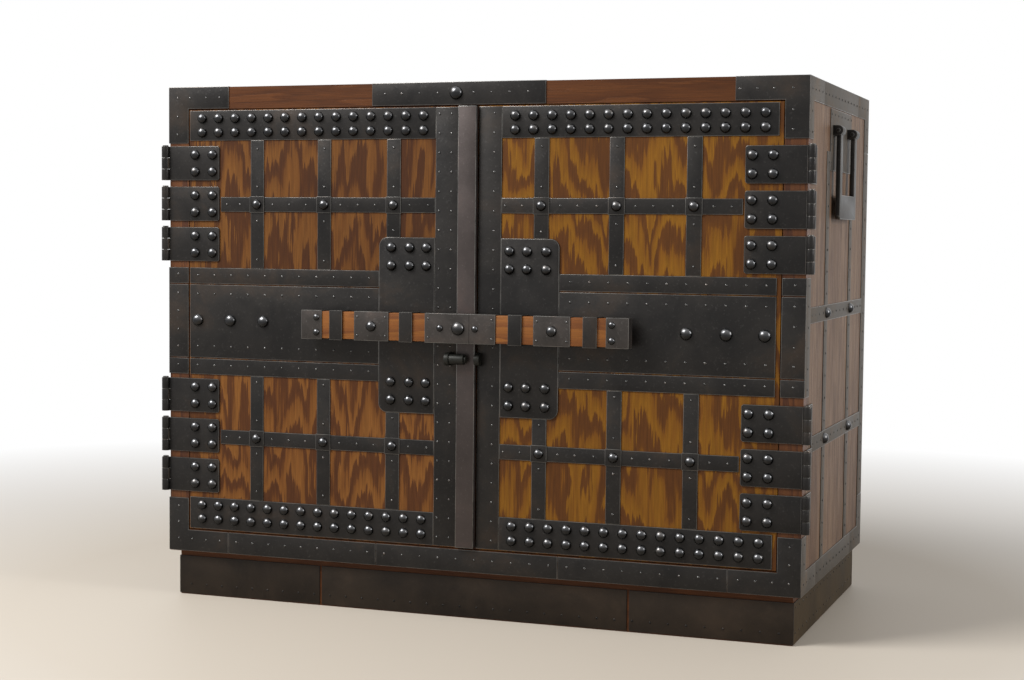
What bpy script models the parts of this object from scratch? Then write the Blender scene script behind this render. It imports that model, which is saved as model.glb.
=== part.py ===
# Iron-bound ship's chest: a plinth, a carcase with two hinged doors, a lock bar divided at the
# meeting line of the doors, and a swinging carrying handle on each side.
# Lengths are in metres. The chest frame, in which all places below are given, has x from the centre
# line, y back from the wooden front and z up from the underside of the carcase.
import math

import bmesh
import bpy
from mathutils import Matrix, Vector

LEFT = -1
RIGHT = 1
SIDES = (LEFT, RIGHT)
SIDE_NAMES = {LEFT: "left", RIGHT: "right"}
AXES = {"x": Vector((1, 0, 0)), "y": Vector((0, 1, 0)), "z": Vector((0, 0, 1))}

# Fits
SEAT_GAP = 0.0003
WELD_DISTANCE = 0.000001
CUT_OVERRUN = 0.002
SINK = 0.0006
DOOR_GAP = 0.0015
MEETING_GAP = 0.0018
RUNNING_GAP = 0.0006
STOP_GAP = 0.001

# Carcase boards
CARCASE_WIDTH = 1.146
CARCASE_DEPTH = 0.567
CARCASE_HEIGHT = 0.8295
FRONT_THICKNESS = 0.024
STILE_WIDTH = 0.038
TOP_RAIL_HEIGHT = 0.0385
BOTTOM_RAIL_HEIGHT = 0.040
CASE_THICKNESS = 0.020
BACK_THICKNESS = 0.009
SHELF_THICKNESS = 0.018
SHELF_SETBACK = 0.012
SHELF_HOUSING = 0.006
STOP_THICKNESS = 0.014
STOP_OVERLAP = 0.012

# Plinth
PLINTH_HEIGHT = 0.0807
PLINTH_THICKNESS = 0.020
PLINTH_FRONT_RECESS = 0.0145
PLINTH_END_RECESS = 0.0135
PLINTH_IRON_RISE = 0.002
PLINTH_IRON_HEIGHT = 0.068
PLINTH_IRON_SPACING = 0.005
PLINTH_IRON_COUNT = 3
PLINTH_GROOVE_DEPTH = 0.0012

# Sheet iron
PLATE = 0.0015
HEAVY_PLATE = 0.0025
TRIM_INSET = 0.0015

# Corner and edge irons of the carcase, with shares of its height
CORNER_FRONT_REACH = 0.1185
CORNER_BACK_REACH = 0.060
CORNER_BAND = 0.038
CORNER_DROP_SHARE = 0.1194
CORNER_LID = 0.038
EDGE_IRON_FRONT = 0.038
EDGE_IRON_SIDE = 0.034
REAR_BAND_SIDE = 0.041
REAR_BAND_BACK = 0.030
BASE_BAND_RISE = 0.0005
BASE_BAND_HEIGHT = 0.0385
BASE_CORNER_SHARE = 0.1145
TOP_PLATE_LENGTH = 0.314
TOP_PLATE_OFFSET = -0.021

# Bands and uprights of the carcase sides. The bands' heights are shares of the carcase's.
SIDE_STRAP_WIDTH = 0.026
SIDE_BAND_SHARES = (0.2893, 0.5425)
SIDE_STRAP_DROP = 0.1115
SIDE_STRAP_SPREAD = 0.224

# Meeting strip
MEETING_STRIP_WIDTH = 0.033
MEETING_STRIP_DEPTH = 0.009
MEETING_STRIP_CHAMFER = 0.002

# Irons of each door, measured from the centre line. Heights that follow the door's are shares of it.
EDGE_PLATE_OUTER = 0.0595
LOCK_PLATE_WIDTH = 0.103
LOCK_PLATE_HEIGHT = 0.300
LOCK_PLATE_ROUND = 0.015
TOP_STRIP_SHARE = 0.0703
BASE_STRIP_SHARE = 0.0757
STRAP_WIDTH = 0.0255
STRAP_PLACE_SHARES = (0.2519, 0.4962, 0.7406)
CROSS_STRAP_SHARE = 0.2760
CROSS_STRAP_MARGIN = 0.003
MIDDLE_PLATE_SHARE = 0.1741
BAND_SHARE = 0.0375
BAND_SPACING = 0.002
CAP_SIZE = 0.0285

# Studs, each a low dome
STUD_SIDES = 8
STUD_DIAMETER = 0.017
STUD_HEIGHT = 0.0072
STUD_PITCH = 0.0326
STUD_FIRST = 0.0825
STUD_END_MARGIN = 0.022
STUD_ROW_PITCH = 0.025
LOCK_STUD_FIRST = 0.0735
LOCK_STUD_RISE = 0.1155
LOCK_STUD_ROW_PITCH = 0.031
KNOB_DIAMETER = 0.0215
KNOB_HEIGHT = 0.0085
KNOB_INSET = 0.0194
KNOB_PITCH = 0.0648
KNOB_COUNT = 3
BAR_STUD_DIAMETER = 0.0235
BAR_STUD_HEIGHT = 0.009
SMALL_STUD_DIAMETER = 0.012
SMALL_STUD_HEIGHT = 0.0048
STUD_SHOULDER_SHARES = ((0.62, 0.80), (1.0, 0.0))

# Hinges, in height and pitch shares of the door's height
HINGE_HEIGHT_SHARE = 0.0804
HINGE_PITCH_SHARE = 0.0958
HINGE_SHIFTS = {LEFT: 0.002, RIGHT: -0.0035}
HINGES_IN_TRIO = 3
HINGE_STRAP_REACH = 0.100
HINGE_LEAF_LENGTH = 0.0662
HINGE_STUD_INSET = 0.0125
HINGE_STUD_PITCH = 0.0342
HINGE_STUD_RISE = 0.030
KNUCKLE_RADIUS = 0.007
KNUCKLE_BORE = 0.004
KNUCKLE_FORWARD = 0.004
KNUCKLE_SIDES = 8
PIN_RADIUS = 0.0033
PIN_HEAD_RADIUS = 0.0052
PIN_HEAD_HEIGHT = 0.002
PIN_SIDES = 8

# Lock bar with its staples, placed by shares of its length, and the padlock lugs under it
BAR_LENGTH = 0.588
BAR_HEIGHT = 0.0465
BAR_DEPTH = 0.022
BAR_STANDOFF = 0.013
BAR_LIFT = 0.0015
BAR_CHAMFER = 0.0015
BAR_CAP_LENGTH = 0.039
BAR_PLATE_LENGTH = 0.064
BAR_PLATE_SHARE = 0.2755
BAR_MIDDLE_PLATE = 0.127
BAR_MIDDLE_STUD = -0.003
BAR_SIDE_STUDS = {LEFT: 0.036, RIGHT: 0.027}
BAR_CAP_STUD_INSET = 0.029
BAR_CAP_STUD_RISE = 0.013
STAPLE_WIDTH = 0.024
STAPLE_THICKNESS = 0.003
STAPLE_INNER_SHARE = 0.1667
STAPLE_OUTER_SHARE = 0.3878
LUG_HEIGHT = 0.022
LUG_DEPTH = 0.030
LUG_DROP = 0.0527
LUG_PLACES = {LEFT: (0.021, 0.032), RIGHT: (0.0188, 0.0288)}
LOCK_BARREL_RADIUS = 0.0095
LOCK_BARREL_END = 0.0115
LOCK_BARREL_CLEARANCE = 0.0012
ROUND_SIDES = 12

# Carrying handles
HANDLE_PLACE_SHARE = 0.5
HANDLE_PLATE_DROP = 0.1425
HANDLE_PLATE_HEIGHT = 0.103
HANDLE_PIVOT_DROP = 0.075
HANDLE_PIVOT_STANDOFF = 0.0111
HANDLE_EYE_RADIUS = 0.0085
HANDLE_BORE = 0.0038
HANDLE_PIN_RADIUS = 0.003
BAIL_LENGTH = 0.156
BAIL_DROP = 0.1485
BAIL_THICKNESS = 0.008
BAIL_ARM_WIDTH = 0.018
BAIL_GRIP_HEIGHT = 0.0405
BAIL_CORNER = 0.006
HANDLE_LUG_THICKNESS = 0.005

# Places worked out from the sizes
HALF_WIDTH = CARCASE_WIDTH / 2
DOOR_OUTER = HALF_WIDTH - STILE_WIDTH - DOOR_GAP
DOOR_BOTTOM = BOTTOM_RAIL_HEIGHT + DOOR_GAP
DOOR_TOP = CARCASE_HEIGHT - TOP_RAIL_HEIGHT - DOOR_GAP
DOOR_MIDDLE = (DOOR_BOTTOM + DOOR_TOP) / 2
DOOR_HEIGHT = DOOR_TOP - DOOR_BOTTOM
CROSS_STRAP_RISE = CROSS_STRAP_SHARE * DOOR_HEIGHT
HINGE_HEIGHT = HINGE_HEIGHT_SHARE * DOOR_HEIGHT
HINGE_PITCH = HINGE_PITCH_SHARE * DOOR_HEIGHT
SEAM = (MEETING_STRIP_WIDTH + MEETING_GAP) / 2
WOOD = 0
ON_PLATE = SEAT_GAP + PLATE
ON_HEAVY_PLATE = SEAT_GAP + HEAVY_PLATE
EDGE_PLATE_INNER = SEAM + MEETING_GAP / 2 + SEAT_GAP
LOCK_PLATE_OUTER = EDGE_PLATE_OUTER + SEAT_GAP + LOCK_PLATE_WIDTH
TRIM_OUTER = DOOR_OUTER - TRIM_INSET
HINGE_STRAP_END = HALF_WIDTH - HINGE_STRAP_REACH
HINGE_X = HALF_WIDTH + SEAT_GAP + KNUCKLE_RADIUS
HINGE_Y = -KNUCKLE_FORWARD
HINGE_LEAF_END = HINGE_Y + HINGE_LEAF_LENGTH
BAR_MIDDLE = DOOR_MIDDLE + BAR_LIFT
BAR_BACK = -BAR_STANDOFF
BAR_FRONT = BAR_BACK - BAR_DEPTH
BAR_TOP = BAR_MIDDLE + BAR_HEIGHT / 2
BAR_BASE = BAR_MIDDLE - BAR_HEIGHT / 2
BAR_PLATE_PLACE = BAR_PLATE_SHARE * BAR_LENGTH
HANDLE_X = HALF_WIDTH + HANDLE_PIVOT_STANDOFF
HANDLE_PLACE = HANDLE_PLACE_SHARE * CARCASE_DEPTH
HANDLE_PLATE_BASE = CARCASE_HEIGHT - HANDLE_PLATE_DROP
HANDLE_PIVOT_RISE = CARCASE_HEIGHT - HANDLE_PIVOT_DROP
FRONT_REACH = -BAR_FRONT + ON_PLATE + SEAT_GAP + BAR_STUD_HEIGHT
BACK_REACH = CARCASE_DEPTH + ON_PLATE
CHEST_Y = (FRONT_REACH - BACK_REACH) / 2
CHEST_Z = PLINTH_HEIGHT + SEAT_GAP


# Helpers for shapes

def clear_scene():
    for old in list(bpy.data.objects):
        bpy.data.objects.remove(old)


def material(name, colour, roughness, metallic):
    finish = bpy.data.materials.new(name)
    finish.use_nodes = True
    shader = finish.node_tree.nodes["Principled BSDF"]
    shader.inputs["Base Color"].default_value = (*colour, 1)
    shader.inputs["Roughness"].default_value = roughness
    shader.inputs["Metallic"].default_value = metallic
    return finish


def empty(name, parent, place):
    holder = bpy.data.objects.new(name, None)
    holder.empty_display_size = HINGE_HEIGHT
    holder.parent = parent
    holder.location = place
    parts.objects.link(holder)
    return holder


def add_node(name, mesh, finish, body):
    # The piece's origin goes to the middle of its shape, and the body's empty carries it.
    corners = [vert.co for vert in mesh.vertices]
    low = Vector([min(co[i] for co in corners) for i in range(3)])
    high = Vector([max(co[i] for co in corners) for i in range(3)])
    centre = (low + high) / 2
    mesh.transform(Matrix.Translation(-centre))
    mesh.name = name
    mesh.materials.clear()
    mesh.materials.append(finish)
    mesh.shade_smooth()
    mesh.set_sharp_from_angle(angle=math.radians(40))
    piece = bpy.data.objects.new(name, mesh)
    piece.parent = body
    piece.location = centre - body.location
    parts.objects.link(piece)


def mesh_of(bm):
    bmesh.ops.remove_doubles(bm, verts=bm.verts, dist=WELD_DISTANCE)
    mesh = bpy.data.meshes.new("piece")
    bm.to_mesh(mesh)
    bm.free()
    return mesh


def helper(name, data):
    piece = bpy.data.objects.new(name, data)
    piece.hide_render = True
    piece.display_type = "WIRE"
    cutters.objects.link(piece)
    return piece


def evaluated_mesh(piece):
    graph = bpy.context.evaluated_depsgraph_get()
    mesh = bpy.data.meshes.new_from_object(piece.evaluated_get(graph))
    bpy.data.objects.remove(piece)
    return mesh


def boxes(*spans):
    # Upright boxes, each from its spans along x, y and z.
    bm = bmesh.new()
    for span in spans:
        ends = [(min(pair), max(pair)) for pair in span]
        centre = [(low + high) / 2 for low, high in ends]
        size = [high - low for low, high in ends]
        shape = Matrix.Translation(centre) @ Matrix.Diagonal((*size, 1))
        bmesh.ops.create_cube(bm, size=1, matrix=shape)
    return mesh_of(bm)


def prism(outlines, low, high, axes):
    # A flat outline with any holes in it, in the plane of the first two axes, extruded along the third.
    curve = bpy.data.curves.new("outline", "CURVE")
    curve.dimensions = "2D"
    curve.fill_mode = "BOTH"
    curve.extrude = (high - low) / 2
    for outline in outlines:
        spline = curve.splines.new("POLY")
        spline.points.add(len(outline) - 1)
        for point, (u, v) in zip(spline.points, outline):
            point.co = (u, v, 0, 1)
        spline.use_cyclic_u = True
    bm = bmesh.new()
    bm.from_mesh(evaluated_mesh(helper("outline", curve)))
    frame = Matrix([AXES[axis] for axis in axes]).transposed()
    shift = Matrix.Translation(AXES[axes[2]] * (low + high) / 2)
    bmesh.ops.transform(bm, matrix=shift @ frame.to_4x4(), verts=bm.verts)
    if frame.determinant() < 0:
        bmesh.ops.reverse_faces(bm, faces=bm.faces)
    return mesh_of(bm)


def combined(mesh, tool, operation):
    # One piece cut by another, or joined with it.
    piece = helper("piece", mesh)
    cutter = helper("cutter", tool)
    boolean = piece.modifiers.new("boolean", "BOOLEAN")
    boolean.operation = operation
    boolean.object = cutter
    result = evaluated_mesh(piece)
    bpy.data.objects.remove(cutter)
    return result


def joined(mesh, *tools):
    for tool in tools:
        mesh = combined(mesh, tool, "UNION")
    return mesh


def gathered(*meshes):
    # Shapes that stand clear of one another, as one tool.
    bm = bmesh.new()
    for mesh in meshes:
        bm.from_mesh(mesh)
    return mesh_of(bm)


def thickened(mesh, thickness):
    # An open sheet, folded or flat, given its wall on the outside.
    piece = helper("sheet", mesh)
    wall = piece.modifiers.new("wall", "SOLIDIFY")
    wall.thickness = thickness
    wall.offset = 1
    wall.use_even_offset = True
    return evaluated_mesh(piece)


def turned(profile, sides):
    # A profile of (radius, height) points from the top down, turned about its own axis.
    mesh = bpy.data.meshes.new("profile")
    points = [(radius, 0, height) for radius, height in profile]
    mesh.from_pydata(points, [(i, i + 1) for i in range(len(points) - 1)], [])
    piece = helper("turned", mesh)
    screw = piece.modifiers.new("turn", "SCREW")
    screw.steps = sides
    screw.render_steps = sides
    screw.use_merge_vertices = True
    screw.merge_threshold = WELD_DISTANCE
    return evaluated_mesh(piece)


def copies(mesh, places, facing=AXES["z"]):
    turn = AXES["z"].rotation_difference(facing).to_matrix().to_4x4()
    bm = bmesh.new()
    for place in places:
        copy = mesh.copy()
        copy.transform(Matrix.Translation(place) @ turn)
        bm.from_mesh(copy)
        bpy.data.meshes.remove(copy)
    return mesh_of(bm)


def stud(diameter, height):
    # A dome whose foot goes a little way into the iron that carries it.
    shoulder = [(radius * diameter / 2, rise * height) for radius, rise in STUD_SHOULDER_SHARES]
    foot = [(diameter / 2, -SINK), (0, -SINK)]
    return turned([(0, height), *shoulder, *foot], STUD_SIDES)


def studs_on_front(dome, places, level):
    return copies(dome, [(x, -level, z) for x, z in places], -AXES["y"])


def proud(level, thickness):
    # The y span of a piece that lies on the front at a level above the wood.
    return (-level - SEAT_GAP - thickness, -level - SEAT_GAP)


def beside(side, thickness):
    # The x span of a piece that lies on the outside of a carcase side.
    return (side * (HALF_WIDTH + SEAT_GAP), side * (HALF_WIDTH + SEAT_GAP + thickness))


def spaced(first, last, pitch):
    count = max(1, round((last - first) / pitch))
    return [first + (last - first) * step / count for step in range(count + 1)]


def arc(centre, radius, start, end, sides):
    angles = [math.radians(start + (end - start) * step / sides) for step in range(sides + 1)]
    return [(centre[0] + radius * math.cos(a), centre[1] + radius * math.sin(a)) for a in angles]


def circle(centre, radius, sides):
    return arc(centre, radius, 0, 360, sides)[:-1]


def mirrored(outline, side):
    return [(side * x, y) for x, y in outline]


def strapwork(rectangles, corner, u, v):
    # A flat sheet that covers the given rectangles, as one surface, seen against u x v.
    breaks = [sorted({end for rectangle in rectangles for end in rectangle[i]}) for i in (0, 1)]
    bm = bmesh.new()
    for u_low, u_high in zip(breaks[0], breaks[0][1:]):
        for v_low, v_high in zip(breaks[1], breaks[1][1:]):
            middle = ((u_low + u_high) / 2, (v_low + v_high) / 2)
            if any(all(r[i][0] < middle[i] < r[i][1] for i in (0, 1)) for r in rectangles):
                square = ((u_low, v_low), (u_high, v_low), (u_high, v_high), (u_low, v_high))
                bm.faces.new([bm.verts.new(corner + u * a + v * b) for a, b in square])
    return mesh_of(bm)


def add_sheet(bm, points, outward):
    face = bm.faces.new([bm.verts.new(point) for point in points])
    face.normal_update()
    if face.normal.dot(outward) < 0:
        face.normal_flip()


# Plinth

def make_plinth():
    half = HALF_WIDTH - PLINTH_END_RECESS
    front = PLINTH_FRONT_RECESS
    back = CARCASE_DEPTH
    t = PLINTH_THICKNESS
    low, high = -SEAT_GAP - PLINTH_HEIGHT, -SEAT_GAP
    outside = [(-half, front), (half, front), (half, back), (-half, back)]
    inside = [(-half + t, front + t), (half - t, front + t), (half - t, back - t), (-half + t, back - t)]
    add_node("plinth_frame", prism([outside, inside], low, high, "xyz"), frame_wood, carcase)

    # Sheet iron round the front and the ends, with a groove between the plates of the front
    edge = half + ON_PLATE
    face = front - ON_PLATE
    end = back - TRIM_INSET
    outline = [(-half - SEAT_GAP, end), (-edge, end), (-edge, face)]
    groove = PLINTH_IRON_SPACING / 2
    floor = face + PLINTH_GROOVE_DEPTH
    for i in range(1, PLINTH_IRON_COUNT):
        middle = -edge + 2 * edge * i / PLINTH_IRON_COUNT
        outline += [(middle - groove, face), (middle - groove, floor)]
        outline += [(middle + groove, floor), (middle + groove, face)]
    outline += [(edge, face), (edge, end), (half + SEAT_GAP, end)]
    outline += [(half + SEAT_GAP, front - SEAT_GAP), (-half - SEAT_GAP, front - SEAT_GAP)]
    base = low + PLINTH_IRON_RISE
    irons = prism([outline], base, base + PLINTH_IRON_HEIGHT, "xyz")
    add_node("plinth_iron", irons, iron, carcase)


# Carcase boards

def make_carcase():
    inner = HALF_WIDTH - CASE_THICKNESS
    behind = FRONT_THICKNESS + SEAT_GAP
    depth = (behind, CARCASE_DEPTH)
    between = (-inner + SEAT_GAP, inner - SEAT_GAP)
    back = (CARCASE_DEPTH - BACK_THICKNESS, CARCASE_DEPTH)
    shelf_y = (behind + STOP_THICKNESS + SHELF_SETBACK, back[0] - SEAT_GAP)
    shelf_z = (DOOR_MIDDLE - SHELF_THICKNESS / 2, DOOR_MIDDLE + SHELF_THICKNESS / 2)
    for side in SIDES:
        # The shelf's ends are housed in a groove in each side board.
        x = (side * inner, side * HALF_WIDTH)
        board = boxes((x, depth, (0, CARCASE_HEIGHT)))
        groove_x = (side * (inner - CUT_OVERRUN), side * (inner + SHELF_HOUSING))
        groove_y = (shelf_y[0] - SEAT_GAP, back[0])
        groove = boxes((groove_x, groove_y, (shelf_z[0] - SEAT_GAP, shelf_z[1] + SEAT_GAP)))
        name = SIDE_NAMES[side]
        add_node(name + "_side_board", combined(board, groove, "DIFFERENCE"), side_wood, carcase)
        x = (side * (HALF_WIDTH - STILE_WIDTH), side * HALF_WIDTH)
        stile = boxes((x, (0, FRONT_THICKNESS), (0, CARCASE_HEIGHT)))
        add_node(name + "_stile", stile, frame_wood, carcase)
    housed = inner + SHELF_HOUSING - SEAT_GAP
    add_node("shelf", boxes(((-housed, housed), shelf_y, shelf_z)), inner_wood, carcase)
    floor = (0, CASE_THICKNESS)
    roof = (CARCASE_HEIGHT - CASE_THICKNESS, CARCASE_HEIGHT)
    add_node("bottom_board", boxes((between, depth, floor)), inner_wood, carcase)
    add_node("top_board", boxes((between, depth, roof)), frame_wood, carcase)
    back_z = (floor[1] + SEAT_GAP, roof[0] - SEAT_GAP)
    add_node("back_board", boxes((between, back, back_z)), inner_wood, carcase)

    # Each rail has a rebate behind the doors, which close against it.
    rail = HALF_WIDTH - STILE_WIDTH - SEAT_GAP
    near = FRONT_THICKNESS + STOP_GAP
    far = near + STOP_THICKNESS
    t = FRONT_THICKNESS
    low, high = CARCASE_HEIGHT - TOP_RAIL_HEIGHT, CARCASE_HEIGHT
    lip, seat = DOOR_TOP - STOP_OVERLAP, roof[0] - SEAT_GAP
    top = [(0, low), (near, low), (near, lip), (far, lip), (far, seat), (t, seat), (t, high), (0, high)]
    add_node("top_rail", prism([top], -rail, rail, "yzx"), frame_wood, carcase)
    low, high = 0, BOTTOM_RAIL_HEIGHT
    lip, seat = DOOR_BOTTOM + STOP_OVERLAP, floor[1] + SEAT_GAP
    base = [(0, low), (t, low), (t, seat), (far, seat), (far, lip), (near, lip), (near, high), (0, high)]
    add_node("bottom_rail", prism([base], -rail, rail, "yzx"), frame_wood, carcase)


# Folded irons on the carcase corners and edges

def make_frame_irons():
    # One folded sheet on each side: corner irons, top and base bands and the rear edge.
    x_edge = HALF_WIDTH + SEAT_GAP
    front = -SEAT_GAP
    back = CARCASE_DEPTH + SEAT_GAP
    top = CARCASE_HEIGHT + SEAT_GAP
    low = BASE_BAND_RISE
    band_low = top - CORNER_BAND
    base_high = low + BASE_BAND_HEIGHT
    arm_low = top - CORNER_DROP_SHARE * CARCASE_HEIGHT
    arm_high = low + BASE_CORNER_SHARE * CARCASE_HEIGHT
    arm = front + EDGE_IRON_SIDE
    rear = back - REAR_BAND_SIDE
    lid = CORNER_LID
    flank = [(back, low), (back, top), (front, top), (front, arm_low), (arm, arm_low), (arm, band_low)]
    flank += [(rear, band_low), (rear, base_high), (arm, base_high), (arm, arm_high)]
    flank += [(front, arm_high), (front, low)]
    far = x_edge - CORNER_FRONT_REACH
    post = x_edge - EDGE_IRON_FRONT
    upper = [(x_edge, top), (far, top), (far, band_low), (post, band_low)]
    upper += [(post, arm_low), (x_edge, arm_low)]
    lower = [(x_edge, low), (far, low), (far, base_high), (post, base_high)]
    lower += [(post, arm_high), (x_edge, arm_high)]
    reach = x_edge - CORNER_BACK_REACH
    inner = x_edge - REAR_BAND_BACK
    rear_face = [(x_edge, low), (x_edge, top), (reach, top), (reach, band_low), (inner, band_low)]
    rear_face += [(inner, base_high), (reach, base_high), (reach, low)]
    cover = [(x_edge, front), (far, front), (far, front + lid), (x_edge - lid, front + lid)]
    cover += [(x_edge - lid, back - lid), (reach, back - lid), (reach, back), (x_edge, back)]
    for side in SIDES:
        bm = bmesh.new()
        add_sheet(bm, [(side * x_edge, y, z) for y, z in flank], AXES["x"] * side)
        for shape in (upper, lower):
            add_sheet(bm, [(side * x, front, z) for x, z in shape], -AXES["y"])
        add_sheet(bm, [(side * x, back, z) for x, z in rear_face], AXES["y"])
        add_sheet(bm, [(side * x, y, top) for x, y in cover], AXES["z"])
        add_node(SIDE_NAMES[side] + "_frame_irons", thickened(mesh_of(bm), PLATE), iron, carcase)


def angle_iron(corner, along, u, width_u, v, width_v):
    # Sheet folded over a straight edge that runs from corner to corner + along.
    bm = bmesh.new()
    add_sheet(bm, [corner, corner + u * width_u, corner + u * width_u + along, corner + along], -v)
    add_sheet(bm, [corner, corner + v * width_v, corner + v * width_v + along, corner + along], -u)
    return thickened(mesh_of(bm), PLATE)


def make_edge_irons():
    levels = middle_levels()
    for side in SIDES:
        corner = Vector((side * (HALF_WIDTH + SEAT_GAP), -SEAT_GAP, levels[0][0]))
        along = AXES["z"] * (levels[2][1] - levels[0][0])
        inward = AXES["x"] * -side
        edge = angle_iron(corner, along, inward, EDGE_IRON_FRONT, AXES["y"], EDGE_IRON_SIDE)
        add_node(SIDE_NAMES[side] + "_stile_iron", edge, iron, carcase)

    top = CARCASE_HEIGHT + SEAT_GAP
    corner = Vector((TOP_PLATE_OFFSET - TOP_PLATE_LENGTH / 2, -SEAT_GAP, top))
    along = AXES["x"] * TOP_PLATE_LENGTH
    plate = angle_iron(corner, along, AXES["y"], CORNER_LID, -AXES["z"], CORNER_BAND)
    place = (TOP_PLATE_OFFSET, top - CORNER_BAND / 2)
    plate = joined(plate, studs_on_front(stud(KNOB_DIAMETER, KNOB_HEIGHT), [place], ON_PLATE))
    add_node("top_rail_plate", plate, iron, carcase)

    end = HALF_WIDTH - CORNER_FRONT_REACH
    z = (BASE_BAND_RISE, BASE_BAND_RISE + BASE_BAND_HEIGHT)
    add_node("base_rail_plate", boxes(((-end, end), proud(WOOD, PLATE), z)), iron, carcase)


def middle_levels():
    # The heights of the lower band, the middle plate and the upper band.
    half = MIDDLE_PLATE_SHARE * DOOR_HEIGHT / 2
    near = half + BAND_SPACING
    far = near + BAND_SHARE * DOOR_HEIGHT
    spans = ((-far, -near), (-half, half), (near, far))
    return [(DOOR_MIDDLE + low, DOOR_MIDDLE + high) for low, high in spans]


# Crossed straps on the carcase sides

def make_side_straps():
    half = SIDE_STRAP_WIDTH / 2
    rear = CARCASE_DEPTH + SEAT_GAP - REAR_BAND_SIDE - SEAT_GAP
    base = BASE_BAND_RISE + BASE_BAND_HEIGHT + SEAT_GAP
    middles = [share * CARCASE_HEIGHT for share in SIDE_BAND_SHARES]
    starts = (HINGE_LEAF_END + SEAT_GAP, EDGE_IRON_SIDE + SEAT_GAP)
    uprights = [HANDLE_PLACE + end * SIDE_STRAP_SPREAD / 2 for end in (-1, 1)]
    pieces = [((start, rear), (z - half, z + half)) for start, z in zip(starts, middles)]
    top = CARCASE_HEIGHT - SIDE_STRAP_DROP
    pieces += [((y - half, y + half), (base, top)) for y in uprights]
    dome = stud(STUD_DIAMETER, STUD_HEIGHT)
    for side in SIDES:
        corner = AXES["x"] * side * (HALF_WIDTH + SEAT_GAP)
        flat = strapwork(pieces, corner, AXES["y"], AXES["z"])
        if side == LEFT:
            flat.flip_normals()
        outside = side * (HALF_WIDTH + ON_PLATE)
        places = [(outside, y, z) for y in uprights for z in middles]
        straps = joined(thickened(flat, PLATE), copies(dome, places, AXES["x"] * side))
        add_node(SIDE_NAMES[side] + "_side_straps", straps, iron, carcase)


# Strap hinges: the leaf on the carcase side holds the pin, and the strap's two knuckles turn on it

def hinge_bases(side):
    # The lower ends of the six hinges of one door.
    trios = [DOOR_MIDDLE + HINGE_SHIFTS[side] + end * CROSS_STRAP_RISE for end in (-1, 1)]
    steps = [i - (HINGES_IN_TRIO - 1) / 2 for i in range(HINGES_IN_TRIO)]
    return [middle + step * HINGE_PITCH - HINGE_HEIGHT / 2 for middle in trios for step in steps]


def knuckle_span():
    # The height of the leaf's knuckle, between the strap's two.
    return (HINGE_HEIGHT / 3, HINGE_HEIGHT * 2 / 3)


def hinge_strap(side):
    # The strap lies on the door's front and runs into the inner side of its knuckles.
    centre = (HINGE_X, HINGE_Y)
    start = -180 - math.degrees(math.asin((-ON_HEAVY_PLATE - HINGE_Y) / KNUCKLE_RADIUS))
    inside = 180 - math.degrees(math.asin((-SEAT_GAP - HINGE_Y) / KNUCKLE_RADIUS))
    curl = arc(centre, KNUCKLE_RADIUS, start, inside, KNUCKLE_SIDES)
    flat = [(HINGE_STRAP_END, -SEAT_GAP), (HINGE_STRAP_END, -ON_HEAVY_PLATE)]
    bore = circle(centre, KNUCKLE_BORE, KNUCKLE_SIDES)
    outlines = [mirrored(flat + curl, side), mirrored(bore, side)]
    strap = prism(outlines, 0, HINGE_HEIGHT, "xyz")
    low, high = knuckle_span()
    near = HINGE_X - KNUCKLE_RADIUS - RUNNING_GAP
    far = HINGE_X + KNUCKLE_RADIUS + CUT_OVERRUN
    x = (side * near, side * far)
    y = (HINGE_Y - KNUCKLE_RADIUS - CUT_OVERRUN, HINGE_Y + KNUCKLE_RADIUS + CUT_OVERRUN)
    gap = boxes((x, y, (low - RUNNING_GAP / 2, high + RUNNING_GAP / 2)))
    strap = combined(strap, gap, "DIFFERENCE")
    places_x = [HINGE_STRAP_END + HINGE_STUD_INSET + i * HINGE_STUD_PITCH for i in range(2)]
    places_z = [HINGE_HEIGHT / 2 + end * HINGE_STUD_RISE / 2 for end in (-1, 1)]
    places = [(side * x, z) for x in places_x for z in places_z]
    return joined(strap, studs_on_front(stud(STUD_DIAMETER, STUD_HEIGHT), places, ON_HEAVY_PLATE))


def hinge_leaf(side):
    # The inner face of the plate runs on into the knuckle, and the outer face meets its back.
    centre = (HINGE_X, HINGE_Y)
    inner = HALF_WIDTH + SEAT_GAP
    outer = HALF_WIDTH + ON_HEAVY_PLATE
    meet = 360 + math.degrees(math.acos((outer - HINGE_X) / KNUCKLE_RADIUS))
    curl = arc(centre, KNUCKLE_RADIUS, 180, meet, KNUCKLE_SIDES)
    plate = [(outer, HINGE_LEAF_END), (inner, HINGE_LEAF_END)]
    leaf = prism([mirrored(plate + curl, side)], 0, HINGE_HEIGHT, "xyz")
    low, high = knuckle_span()
    x = (side * HALF_WIDTH, side * (HINGE_X + KNUCKLE_RADIUS + CUT_OVERRUN))
    y = (HINGE_Y - KNUCKLE_RADIUS - CUT_OVERRUN, HINGE_Y + KNUCKLE_RADIUS + RUNNING_GAP)
    below = (x, y, (-CUT_OVERRUN, low + RUNNING_GAP / 2))
    above = (x, y, (high - RUNNING_GAP / 2, HINGE_HEIGHT + CUT_OVERRUN))
    leaf = combined(leaf, boxes(below, above), "DIFFERENCE")

    # The pin is fast in the leaf's knuckle, with a head above the strap's upper knuckle.
    top = HINGE_HEIGHT + SEAT_GAP
    head = top + PIN_HEAD_HEIGHT
    profile = [(0, head), (PIN_HEAD_RADIUS, head), (PIN_HEAD_RADIUS, top), (PIN_RADIUS, top)]
    pin = turned(profile + [(PIN_RADIUS, 0), (0, 0)], PIN_SIDES)
    return joined(leaf, copies(pin, [(side * HINGE_X, HINGE_Y, 0)]))


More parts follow.
